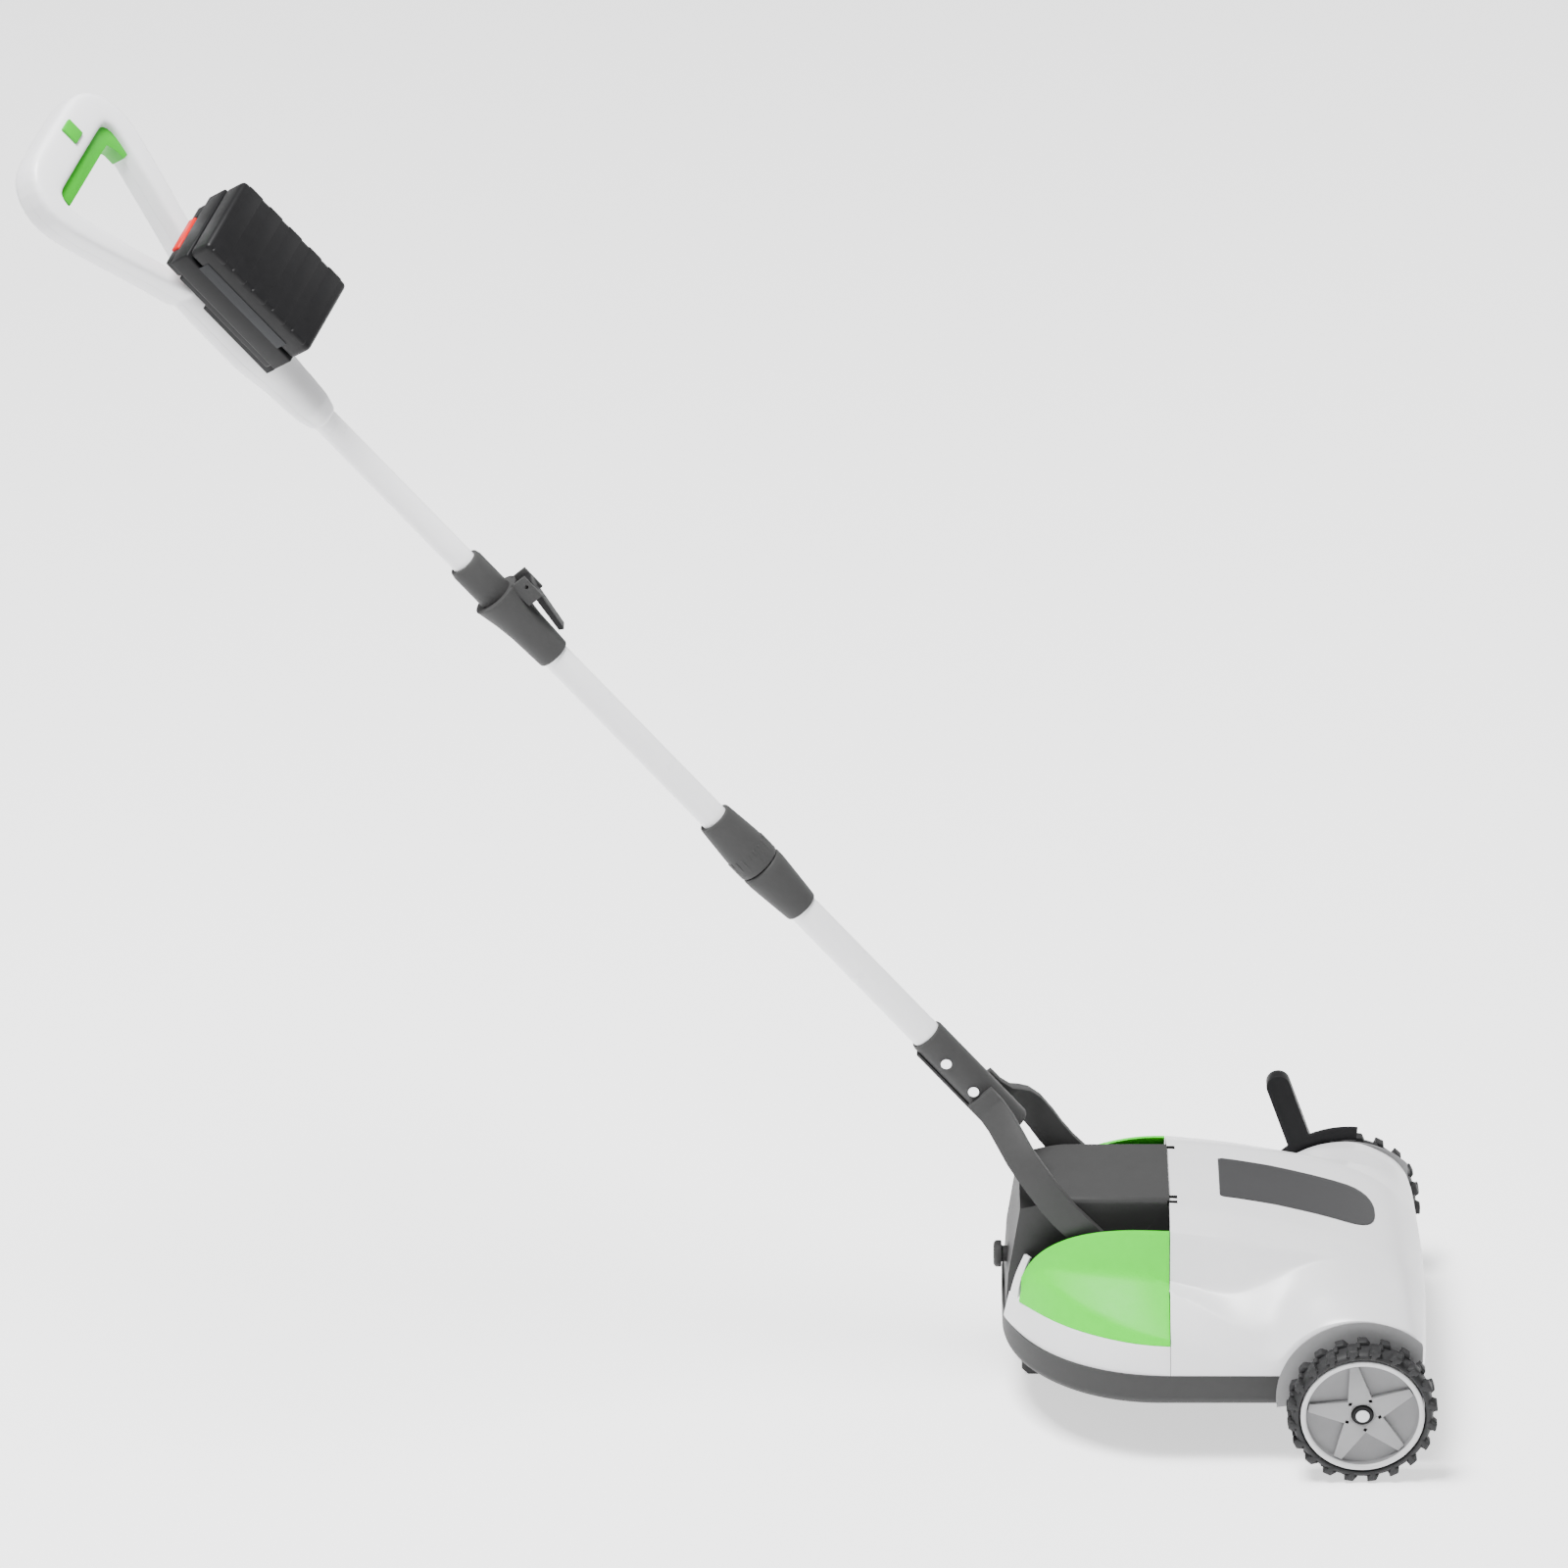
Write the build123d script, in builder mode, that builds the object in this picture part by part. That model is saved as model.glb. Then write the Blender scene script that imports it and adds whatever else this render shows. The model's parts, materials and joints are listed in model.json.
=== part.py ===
from build123d import *
import math
import os

os.makedirs("parts", exist_ok=True)

# ---------------------------------------------------------------- driving dimensions, millimetres
# The origin is the middle of the rear skid's flat sole, on the ground. +X is forward, +Z is up.
WHEEL_RADIUS = 56.0        # over the tread lugs
AXLE_X = 232.0             # wheel centres, ahead of the rear skid
TYRE_WIDTH = 22.5
TYRE_DEPTH = 6.0           # carcass between rim and lugs
LUG_HEIGHT = 4.0
LUG_COUNT = 24
RIM_RADIUS = WHEEL_RADIUS - LUG_HEIGHT - TYRE_DEPTH
STUB_RADIUS = 5.0          # stub axles and cross shaft
CRANK_THROW = 8.0          # offset between cross shaft and stub axles
RUN_GAP = 0.05             # radial clearance of every running fit
BUSH_WALL = 3.0

BODY_HALF = 139.0          # half width of the head over the hood
FRONT_X = 286.0
REAR_X = -32.0
SEAM_X = 91.0              # joint between hood and rear shell
REAR_ROUND = 115.0         # corner radius of the rear, seen from above
FRONT_BULGE = 22.0         # how far the middle of the front stands ahead of its corners
FRONT_ROUND = 20.0
BASE_BOTTOM = 47.0
SKIRT_TOP = 73.0
CHEEK_BOTTOM = 92.0        # lower edge of the green cheeks
ROOF_REAR = 168.0          # hood height at the seam
ROOF_FRONT = 133.0         # hood height where the nose turns down
WALL = 2.5
ARCH_RADIUS = 65.0
LINER_THICK = 1.0
SIDE_GAP = 1.0             # liner to lever, lever to crank disc, crank disc to tyre
LEVER_THICK = 3.0
CRANK_THICK = 2.5

DECK_HALF = 44.0
DECK_TOP = 171.0
DECK_FLOOR = 93.0
FLOOR_THICK = 2.5
KNOB_Z = 100.0             # tilt release knob on the deck's rear wall
KNOB_STEM = 6.0

ROTOR_RADIUS = 40.0
HOUSING_RADIUS = 48.0
HOUSING_HALF = BODY_HALF - 29.0  # inside half width of the rotor chamber
PLATE_THICK = 4.0
ROTOR_TUBE_RADIUS = 12.0
BEARING_WALL = 4.0
PULLEY_WIDTH = 7.0
ROTOR_PULLEY_RADIUS = 24.0
MOTOR_PULLEY_RADIUS = 9.0
BELT_THICK = 2.0
BELT_GAP = 0.3
MOTOR_X = 146.0
MOTOR_Z = 78.0
MOTOR_RADIUS = 25.0
MOTOR_LENGTH = 84.0
MOTOR_SETBACK = 32.0       # motor face inwards of the rotor chamber's end
MOTOR_SHAFT_RADIUS = 3.0

PIVOT_X = 58.0             # yoke pivot
PIVOT_Z = 118.0
PIVOT_RADIUS = 4.0
ARM_IN = 53.0              # inner face of a yoke arm
ARM_THICK = 6.0
ARM_WIDTH = 23.0

POLE_ANGLE = 49.0          # rise of the pole towards the rear
POLE_FOOT = (-90.0, 286.0)  # X and Z of the bracket's upper end, on the pole axis
TUBE_WALL = 0.95
LOWER_TUBE_R = 11.5
MIDDLE_TUBE_R = LOWER_TUBE_R - TUBE_WALL - RUN_GAP
UPPER_TUBE_R = MIDDLE_TUBE_R - TUBE_WALL - RUN_GAP
BRACKET_R = LOWER_TUBE_R + 2.0
CLAMP_R = LOWER_TUBE_R + 5.5
BRACKET_LENGTH = 100.0
BOLT_R = 4.0
BOLT_STATIONS = (-23.0, -54.0)

# stations along the pole axis, measured up from the bracket's upper end
CLAMP_START, CLAMP_SEAM, CLAMP_END = 141.0, 187.5, 239.0
LOCK_START, LOCK_RIM, LOCK_END = 417.0, 481.0, 516.0
COLLAR_START, COLLAR_END = 661.0, 714.0
GRIP_INNER, GRIP_OUTER = 938.0, 971.0
LOWER_TUBE_SPAN = (-72.0, CLAMP_SEAM - 3.0)
MIDDLE_TUBE_SPAN = (100.0, LOCK_RIM - 24.0)
UPPER_TUBE_SPAN = (350.0, COLLAR_END - 6.0)

HANDLE_TURN = 28.0         # the handle is stored turned this far about the pole
HANDLE_HALF = 60.0         # half width over the loop
LOOP_THICK = 13.5          # half thickness of loop
NECK_HALF = 20.0
NECK_THICK = 18.0          # half thickness of neck
ARM_HALF_OPEN = 43.0
HANDLE_WALL = 2.6

BATTERY_LENGTH, BATTERY_WIDTH, BATTERY_HEIGHT = 112.0, 74.0, 52.0
BATTERY_START = 733.0      # station of the battery's lower end
RAIL_WIDTH = 44.0
RAIL_HEIGHT = 7.0
DOCK_GAP = 0.4
CELL_R = 9.1
CELL_LENGTH = 65.0

SHAFT_X = AXLE_X - CRANK_THROW
AXLE_Z = WHEEL_RADIUS
LEVER_IN = BODY_HALF + LINER_THICK + SIDE_GAP
CRANK_IN = LEVER_IN + LEVER_THICK + SIDE_GAP / 2
TYRE_IN = CRANK_IN + CRANK_THICK + SIDE_GAP / 2
TYRE_OUT = TYRE_IN + TYRE_WIDTH
BELT_Y = HOUSING_HALF + PLATE_THICK + 3.0
BELT_ROOM = BELT_Y + PULLEY_WIDTH + 2.0
RISE = math.radians(POLE_ANGLE)
POLE_DIR = Vector(-math.cos(RISE), 0, math.sin(RISE))
POLE_FRONT = Vector(math.sin(RISE), 0, math.cos(RISE))
TURN = math.radians(HANDLE_TURN)
GRIP_DIR = Vector(0, -1, 0) * math.cos(TURN) - POLE_FRONT * math.sin(TURN)
HANDLE_FRONT = POLE_DIR.cross(GRIP_DIR)
LOW = (Align.CENTER, Align.CENTER, Align.MIN)


def along(station):
    """Point on the pole axis, this far up from the bracket's upper end."""
    return Vector(POLE_FOOT[0], 0, POLE_FOOT[1]) + POLE_DIR * station


def pole_plane(station):
    """Plane across the pole, normal pointing up the pole, local X towards the front."""
    return Plane(origin=along(station), x_dir=POLE_FRONT, z_dir=POLE_DIR)


def handle_plane(depth=0.0):
    """Plane of the handle's loop: local X up the pole, local Y along the grip, normal to the front."""
    return Plane(origin=along(0) + HANDLE_FRONT * depth, x_dir=POLE_DIR, z_dir=HANDLE_FRONT)


def side_plane(y, x=0.0, z=0.0):
    """Plane facing +Y at this Y, with local X forward and local Y down."""
    return Plane(origin=(x, y, z), x_dir=(1, 0, 0), z_dir=(0, 1, 0))


def save(piece, name):
    """Label a finished piece and write its file."""
    piece.part.label = name
    export_step(piece.part, f"parts/{name}.step")


def ring(plane, outer, inner, length):
    """Straight tube standing on a plane."""
    with BuildPart(plane) as piece:
        Cylinder(outer, length, align=LOW)
        Cylinder(inner, length, align=LOW, mode=Mode.SUBTRACT)
    return piece


def turned(station, points):
    """Solid of revolution about the pole: points are (radius, height above the station)."""
    with BuildPart() as piece:
        with BuildSketch(Plane(origin=along(station), x_dir=POLE_FRONT, z_dir=POLE_FRONT.cross(POLE_DIR))):
            with BuildLine():
                Polyline(*points, close=True)
            make_face()
        revolve(axis=Axis(along(0), POLE_DIR))
    return piece


# ---------------------------------------------------------------- head: shells
def plan_outline(inset):
    """Outline of the head seen from above, moved inwards by inset."""
    with BuildSketch() as outline:
        with BuildLine():
            ThreePointArc((FRONT_X - FRONT_BULGE, -BODY_HALF), (FRONT_X, 0), (FRONT_X - FRONT_BULGE, BODY_HALF))
            Polyline((FRONT_X - FRONT_BULGE, BODY_HALF), (REAR_X, BODY_HALF), (REAR_X, -BODY_HALF),
                     (FRONT_X - FRONT_BULGE, -BODY_HALF))
        make_face()
        fillet(outline.vertices().group_by(Axis.X)[0], REAR_ROUND)
        fillet(outline.vertices().group_by(Axis.X)[-1], FRONT_ROUND)
        if inset:
            offset(amount=-inset)
    return outline.sketch


def shell_form(inset):
    """Outer form of the upper shells, moved inwards by inset and reaching below the skirt joint."""
    low = SKIRT_TOP - 2 * WALL
    drop = ROOF_REAR - SKIRT_TOP
    with BuildPart() as form:
        with BuildSketch(Plane.XZ):
            with BuildLine():
                Polyline(
                    (FRONT_X, SKIRT_TOP),
                    (FRONT_X, low),
                    (REAR_X, low),
                    (REAR_X, SKIRT_TOP),
                    (0.70 * REAR_X, SKIRT_TOP + 0.23 * drop),
                    (0.35 * REAR_X, SKIRT_TOP + 0.58 * drop),
                    (0.05 * SEAM_X, SKIRT_TOP + 0.74 * drop),
                    (0.25 * SEAM_X, SKIRT_TOP + 0.87 * drop),
                    (0.50 * SEAM_X, SKIRT_TOP + 0.96 * drop),
                    (SEAM_X, ROOF_REAR),
                    (SEAM_X + 38, ROOF_REAR - 3),
                    (FRONT_X - 64, ROOF_FRONT + 9),
                    (FRONT_X - 41, ROOF_FRONT),
                )
                ThreePointArc((FRONT_X - 41, ROOF_FRONT), (FRONT_X - 12, ROOF_FRONT - 22), (FRONT_X, SKIRT_TOP))
            make_face()
            if inset:
                offset(amount=-inset)
        extrude(amount=BODY_HALF, both=True)
        with BuildSketch(Plane.YZ.offset(REAR_X)):
            with BuildLine():
                half = (
                    (BODY_HALF, low),
                    (BODY_HALF, SKIRT_TOP),
                    (0.92 * BODY_HALF, SKIRT_TOP + 0.20 * drop),
                    (0.76 * BODY_HALF, SKIRT_TOP + 0.60 * drop),
                    (0.54 * BODY_HALF, SKIRT_TOP + 0.92 * drop),
                    (0.38 * BODY_HALF, ROOF_REAR),
                )
                Polyline(*half, *[(-y, z) for y, z in reversed(half)], close=True)
            make_face()
            if inset:
                offset(amount=-inset)
        extrude(amount=FRONT_X - REAR_X, mode=Mode.INTERSECT)
        for side in (-1, 1):
            with BuildSketch(side_plane(side * (BODY_HALF - inset))):
                with Locations((AXLE_X, -AXLE_Z)):
                    Circle(ARCH_RADIUS - inset)
            extrude(amount=-side * 43)
        with BuildSketch(Plane.XY.offset(low)):
            add(plan_outline(inset))
        extrude(amount=DECK_TOP, mode=Mode.INTERSECT)
    return form.part


outer_form = shell_form(0)
inner_form = shell_form(WALL)

ZONE = (Align.MIN, Align.CENTER, Align.MIN)

with BuildPart() as hood:
    add(outer_form)
    add(inner_form, mode=Mode.SUBTRACT)
    with Locations((SEAM_X, 0, SKIRT_TOP)):
        Box(FRONT_X, 4 * BODY_HALF, ROOF_REAR, align=ZONE, mode=Mode.INTERSECT)
    with Locations((FRONT_X - 2 * WALL, 0, SKIRT_TOP - 1)):
        Box(50, 2 * HOUSING_HALF, 14, align=ZONE, mode=Mode.SUBTRACT)
    with Locations(*[(SEAM_X + 4, y, ROOF_REAR) for y in (-DECK_HALF, 0.9 * DECK_HALF, -0.6 * DECK_HALF)]):
        Box(9, 2, 12, mode=Mode.SUBTRACT)
save(hood, "hood")

WINDOW_HALF = 29.0
with BuildPart() as window:
    add(shell_form(-0.8))
    add(outer_form, mode=Mode.SUBTRACT)
    with BuildSketch(Plane.XY.offset(ROOF_FRONT)):
        with Locations((SEAM_X + 90, 0)):
            SlotOverall(116, 2 * WINDOW_HALF)
        with Locations((SEAM_X + 59, 0)):
            Rectangle(46, 2 * WINDOW_HALF)
    extrude(amount=ROOF_REAR, mode=Mode.INTERSECT)
save(window, "window_panel")


def rear_half(lower, upper, inner, side):
    """Part of the upper shell behind the seam, between two heights and outside inner, on one side or both."""
    with BuildPart() as piece:
        add(outer_form)
        add(inner_form, mode=Mode.SUBTRACT)
        with Locations((REAR_X - 5, 0, lower)):
            Box(SEAM_X - REAR_X + 5, 4 * BODY_HALF, upper - lower, align=ZONE, mode=Mode.INTERSECT)
        with Locations((REAR_X - 9, 0, 0)):
            Box(SEAM_X - REAR_X + 10, 2 * inner, 3 * ROOF_REAR, align=ZONE, mode=Mode.SUBTRACT)
        if side:
            with Locations((0, side * BODY_HALF, 0)):
                Box(900, 2 * BODY_HALF, 900, mode=Mode.INTERSECT)
    return piece


save(rear_half(SKIRT_TOP, CHEEK_BOTTOM, DECK_HALF + 1, 0), "rear_shell")
for cheek_side, cheek_name in ((-1, "right"), (1, "left")):
    save(rear_half(CHEEK_BOTTOM, ROOF_REAR, ARM_IN + ARM_THICK + 2, cheek_side), f"cheek_{cheek_name}")

# Deck: a hollow box between the cheeks on a floor plate, with a clevis lug outside each yoke arm.
LUG_IN = ARM_IN + ARM_THICK + 1
deck_points = (
    (SEAM_X, DECK_FLOOR),
    (SEAM_X, DECK_TOP),
    (18, DECK_TOP),
    (0.62 * REAR_X, DECK_TOP - 9),
    (0.88 * REAR_X, 107),
    (0.94 * REAR_X, SKIRT_TOP),
    (0.5 * REAR_X, SKIRT_TOP),
    (0.5 * REAR_X, DECK_FLOOR),
)
with BuildPart() as deck:
    with BuildSketch(Plane.XZ):
        Polygon(*deck_points, align=None)
    extrude(amount=DECK_HALF, both=True)
    fillet(deck.edges().filter_by(Axis.Y, reverse=True).group_by(Axis.Z)[-1], 5)
    with BuildSketch(Plane.XZ):
        Polygon((SEAM_X + 1, SKIRT_TOP - 1), (SEAM_X + 1, DECK_TOP - WALL), (18, DECK_TOP - WALL),
                (0.62 * REAR_X + 3, DECK_TOP - 12), (0.88 * REAR_X + 3, 107), (0.88 * REAR_X + 3, SKIRT_TOP - 1),
                align=None)
    extrude(amount=DECK_HALF - WALL, both=True, mode=Mode.SUBTRACT)
    with BuildPart(mode=Mode.PRIVATE) as floor_plate:
        add(shell_form(WALL + 0.2))
        with Locations((0.5 * REAR_X, 0, DECK_FLOOR)):
            Box(SEAM_X - 0.5 * REAR_X, 400, FLOOR_THICK, align=ZONE, mode=Mode.INTERSECT)
        with Locations((0.5 * REAR_X - 5, 0, DECK_FLOOR - 1)):
            Box(SEAM_X - 0.5 * REAR_X + 10, 2 * DECK_HALF - 2, 2 * FLOOR_THICK, align=ZONE, mode=Mode.SUBTRACT)
    add(floor_plate.part)
    for side in (-1, 1):
        with BuildSketch(side_plane(side * LUG_IN)):
            with Locations((PIVOT_X, -PIVOT_Z)):
                Circle(11)
            with Locations((PIVOT_X, -(PIVOT_Z + DECK_FLOOR) / 2)):
                Rectangle(22, PIVOT_Z - DECK_FLOOR)
        extrude(amount=side * 5)
    with BuildSketch(side_plane(0)):
        with Locations((PIVOT_X, -PIVOT_Z)):
            Circle(PIVOT_RADIUS)
    extrude(amount=200, both=True, mode=Mode.SUBTRACT)
    with BuildSketch(Plane.YZ.offset(REAR_X - 5)):
        with Locations((0, KNOB_Z)):
            Circle(KNOB_STEM + RUN_GAP)
    extrude(amount=12, mode=Mode.SUBTRACT)
save(deck, "center_deck")

with BuildPart(side_plane(-LUG_IN - 7)) as pivot_pin:
    with Locations((PIVOT_X, -PIVOT_Z)):
        Cylinder(PIVOT_RADIUS, 2 * LUG_IN + 14, align=LOW)
save(pivot_pin, "yoke_pivot_pin")

PAN_FILLET = 8.0
with BuildPart() as base_pan:
    with BuildSketch(Plane.XY.offset(BASE_BOTTOM)):
        add(plan_outline(0))
    extrude(amount=SKIRT_TOP - BASE_BOTTOM)
    fillet(base_pan.edges().group_by(Axis.Z)[0], PAN_FILLET)
    with BuildSketch(Plane.XY.offset(BASE_BOTTOM + WALL)):
        add(plan_outline(WALL + PAN_FILLET))
    extrude(amount=SKIRT_TOP, mode=Mode.SUBTRACT)
    with BuildSketch(Plane.XY.offset(BASE_BOTTOM + 10)):
        add(plan_outline(WALL))
    extrude(amount=SKIRT_TOP, mode=Mode.SUBTRACT)
    with Locations((SHAFT_X - HOUSING_RADIUS - WALL - 1, 0, 0)):
        Box(200, 2 * BELT_ROOM, 400, align=ZONE, mode=Mode.SUBTRACT)
    with Locations((MOTOR_X + 20, BELT_ROOM - PULLEY_WIDTH - 5, 0)):
        Box(60, PULLEY_WIDTH + 5, 400, align=Align.MIN, mode=Mode.SUBTRACT)
    with BuildSketch(side_plane(0)):
        with Locations((SHAFT_X, -AXLE_Z)):
            Circle(STUB_RADIUS + RUN_GAP)
    extrude(amount=200, both=True, mode=Mode.SUBTRACT)
save(base_pan, "base_pan")

with BuildPart() as liners:
    for side in (-1, 1):
        with BuildSketch(side_plane(side * BODY_HALF)):
            with Locations((AXLE_X, -AXLE_Z)):
                Circle(ARCH_RADIUS - 2)
            with Locations((SHAFT_X, -AXLE_Z)):
                Circle(STUB_RADIUS + 1, mode=Mode.SUBTRACT)
            with Locations((AXLE_X, -AXLE_Z)):
                Rectangle(2 * (FRONT_X - AXLE_X), 500, mode=Mode.INTERSECT)
            with Locations((AXLE_X, -BASE_BOTTOM)):
                Rectangle(500, 500, align=(Align.CENTER, Align.MAX), mode=Mode.INTERSECT)
        extrude(amount=side * LINER_THICK)
save(liners, "arch_liners")

# ---------------------------------------------------------------- head: rotor chamber and drive
with BuildPart() as scraper:
    with BuildSketch(side_plane(0)):
        Polygon((SHAFT_X - 30, -18), (SHAFT_X - 26, -8), (SHAFT_X - 6, -3), (SHAFT_X - 4, -7), align=None)
    extrude(amount=HOUSING_HALF + PLATE_THICK, both=True)
save(scraper, "scraper_bar")

TUBE_JOURNAL = ROTOR_TUBE_RADIUS + RUN_GAP
with BuildPart() as housing:
    with BuildSketch(side_plane(0)):
        with Locations((SHAFT_X, -AXLE_Z)):
            Circle(HOUSING_RADIUS + WALL)
            Circle(HOUSING_RADIUS, mode=Mode.SUBTRACT)
        with Locations((SHAFT_X, -AXLE_Z)):
            Polygon((0, 0), (90, -58), (90, 130), (-30, 130), align=None, mode=Mode.SUBTRACT)
    extrude(amount=HOUSING_HALF, both=True)
    for side in (-1, 1):
        with BuildSketch(side_plane(side * HOUSING_HALF)):
            with Locations((SHAFT_X, -AXLE_Z)):
                Circle(HOUSING_RADIUS + WALL)
                Circle(TUBE_JOURNAL + BEARING_WALL, mode=Mode.SUBTRACT)
        extrude(amount=side * PLATE_THICK)
    with BuildSketch():
        add(plan_outline(2 * WALL))
    extrude(amount=ROOF_REAR, mode=Mode.INTERSECT)
    add(scraper.part, mode=Mode.SUBTRACT)
save(housing, "rotor_housing")

with BuildPart() as rotor_bearings:
    for start in (-HOUSING_HALF - PLATE_THICK, HOUSING_HALF):
        with Locations(side_plane(start, SHAFT_X, AXLE_Z)):
            Cylinder(TUBE_JOURNAL + BEARING_WALL, PLATE_THICK, align=LOW)
            Cylinder(TUBE_JOURNAL, PLATE_THICK, align=LOW, mode=Mode.SUBTRACT)
save(rotor_bearings, "rotor_bearings")

tube_length = BELT_Y + PULLEY_WIDTH + 1 + HOUSING_HALF + PLATE_THICK
tube_start = side_plane(-HOUSING_HALF - PLATE_THICK, SHAFT_X, AXLE_Z)
BUSH_OUTER = STUB_RADIUS + RUN_GAP + BUSH_WALL
save(ring(tube_start, ROTOR_TUBE_RADIUS, BUSH_OUTER, tube_length), "rotor_tube")
with BuildPart() as rotor_bushes:
    for start in (-HOUSING_HALF - PLATE_THICK, BELT_Y - 4):
        with Locations(side_plane(start, SHAFT_X, AXLE_Z)):
            Cylinder(BUSH_OUTER, 12, align=LOW)
            Cylinder(STUB_RADIUS + RUN_GAP, 12, align=LOW, mode=Mode.SUBTRACT)
save(rotor_bushes, "rotor_bushes")

BLADE_THICK = 3.0
TIP_DEPTH = 8.0
blade_reach = ROTOR_RADIUS - TIP_DEPTH
paddle_half = HOUSING_HALF - 4
with BuildPart() as paddles:
    with BuildSketch(side_plane(0, SHAFT_X, AXLE_Z)):
        with PolarLocations(0, 3):
            with Locations((ROTOR_TUBE_RADIUS, 0)):
                Rectangle(blade_reach - ROTOR_TUBE_RADIUS, BLADE_THICK, align=(Align.MIN, Align.CENTER))
        Circle(ROTOR_TUBE_RADIUS + 1.5)
        Circle(ROTOR_TUBE_RADIUS, mode=Mode.SUBTRACT)
    extrude(amount=paddle_half, both=True)
    with BuildSketch(side_plane(0, SHAFT_X, AXLE_Z)):
        Circle(blade_reach - 4)
        Circle(ROTOR_TUBE_RADIUS, mode=Mode.SUBTRACT)
    extrude(amount=BLADE_THICK / 2, both=True)
save(paddles, "rotor_paddles")
with BuildPart() as tips:
    with BuildSketch(side_plane(0, SHAFT_X, AXLE_Z)):
        with PolarLocations(0, 3):
            with Locations((blade_reach, 0)):
                Rectangle(TIP_DEPTH, BLADE_THICK + 2, align=(Align.MIN, Align.CENTER))
    extrude(amount=paddle_half, both=True)
save(tips, "rotor_tips")

save(ring(side_plane(BELT_Y, SHAFT_X, AXLE_Z), ROTOR_PULLEY_RADIUS, ROTOR_TUBE_RADIUS, PULLEY_WIDTH), "rotor_pulley")
save(ring(side_plane(BELT_Y, MOTOR_X, MOTOR_Z), MOTOR_PULLEY_RADIUS, MOTOR_SHAFT_RADIUS, PULLEY_WIDTH),
     "motor_pulley")
MOTOR_END = HOUSING_HALF - MOTOR_SETBACK
with BuildPart(side_plane(MOTOR_END - MOTOR_LENGTH, MOTOR_X, MOTOR_Z)) as motor:
    Cylinder(MOTOR_RADIUS, MOTOR_LENGTH, align=LOW)
    fillet(motor.edges().filter_by(GeomType.CIRCLE), 2)
    Cylinder(MOTOR_SHAFT_RADIUS + RUN_GAP, MOTOR_LENGTH, align=LOW, mode=Mode.SUBTRACT)
save(motor, "motor_case")
with BuildPart(side_plane(MOTOR_END - MOTOR_LENGTH + 3, MOTOR_X, MOTOR_Z)) as motor_shaft:
    Cylinder(MOTOR_SHAFT_RADIUS, BELT_Y + PULLEY_WIDTH + 1 - MOTOR_END + MOTOR_LENGTH - 3, align=LOW)
save(motor_shaft, "motor_shaft")


def belt_outline(extra):
    """Filled outline of the belt, this far outside both pulleys."""
    with BuildSketch() as outline:
        with Locations((SHAFT_X, -AXLE_Z)):
            Circle(ROTOR_PULLEY_RADIUS + extra)
        with Locations((MOTOR_X, -MOTOR_Z)):
            Circle(MOTOR_PULLEY_RADIUS + extra)
        make_hull()
    return outline.sketch


with BuildPart() as belt:
    with BuildSketch(side_plane(BELT_Y + 0.5)):
        add(belt_outline(BELT_GAP + BELT_THICK))
        add(belt_outline(BELT_GAP), mode=Mode.SUBTRACT)
    extrude(amount=PULLEY_WIDTH - 1)
save(belt, "drive_belt")

with BuildPart() as board:
    with Locations((44, 0, DECK_FLOOR + 3)):
        Box(60, 62, 1.6)
    with Locations((30, -16, DECK_FLOOR + 7.8), (50, 14, DECK_FLOOR + 7.8)):
        Box(16, 14, 8)
save(board, "control_board")

SKID_HALF = 7.0
with BuildPart() as skid:
    with BuildSketch(Plane.XZ):
        Polygon((-12, 0), (12, 0), (17, 5), (17, BASE_BOTTOM), (-9, BASE_BOTTOM), (-17, 5), align=None)
    extrude(amount=SKID_HALF, both=True)
save(skid, "rear_skid")

with BuildPart(Plane(origin=(REAR_X - 0.6, 0, KNOB_Z), x_dir=(0, 1, 0), z_dir=(-1, 0, 0))) as knob:
    Cylinder(10, 6, align=LOW)
    fillet(knob.faces().sort_by(Axis.X)[0].edges(), 3)
    Cylinder(KNOB_STEM, 9, align=(Align.CENTER, Align.CENTER, Align.MAX))
save(knob, "tilt_release_knob")

# ---------------------------------------------------------------- wheels, cross shaft and height lever
with BuildPart(side_plane(-CRANK_IN - CRANK_THICK, SHAFT_X, AXLE_Z)) as cross_shaft:
    Cylinder(STUB_RADIUS, 2 * (CRANK_IN + CRANK_THICK), align=LOW)
save(cross_shaft, "cross_shaft")

with BuildPart() as crank_stubs:
    for side in (-1, 1):
        with BuildSketch(side_plane(side * CRANK_IN)):
            with Locations((SHAFT_X, -AXLE_Z)):
                Circle(15)
                Circle(STUB_RADIUS, mode=Mode.SUBTRACT)
        extrude(amount=side * CRANK_THICK)
        with BuildSketch(side_plane(side * (CRANK_IN + CRANK_THICK))):
            with Locations((AXLE_X, -AXLE_Z)):
                Circle(STUB_RADIUS)
        extrude(amount=side * (TYRE_OUT - 1 - CRANK_IN - CRANK_THICK))
save(crank_stubs, "crank_stubs")

CLIP_BACK = 2.8            # hub clip, behind the tyre's outer face
with BuildPart() as clips:
    for side in (-1, 1):
        with BuildSketch(side_plane(side * (TYRE_OUT - CLIP_BACK))):
            with Locations((AXLE_X, -AXLE_Z)):
                Circle(STUB_RADIUS + 2.4)
                Circle(STUB_RADIUS, mode=Mode.SUBTRACT)
        extrude(amount=side)
save(clips, "axle_clips")

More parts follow.
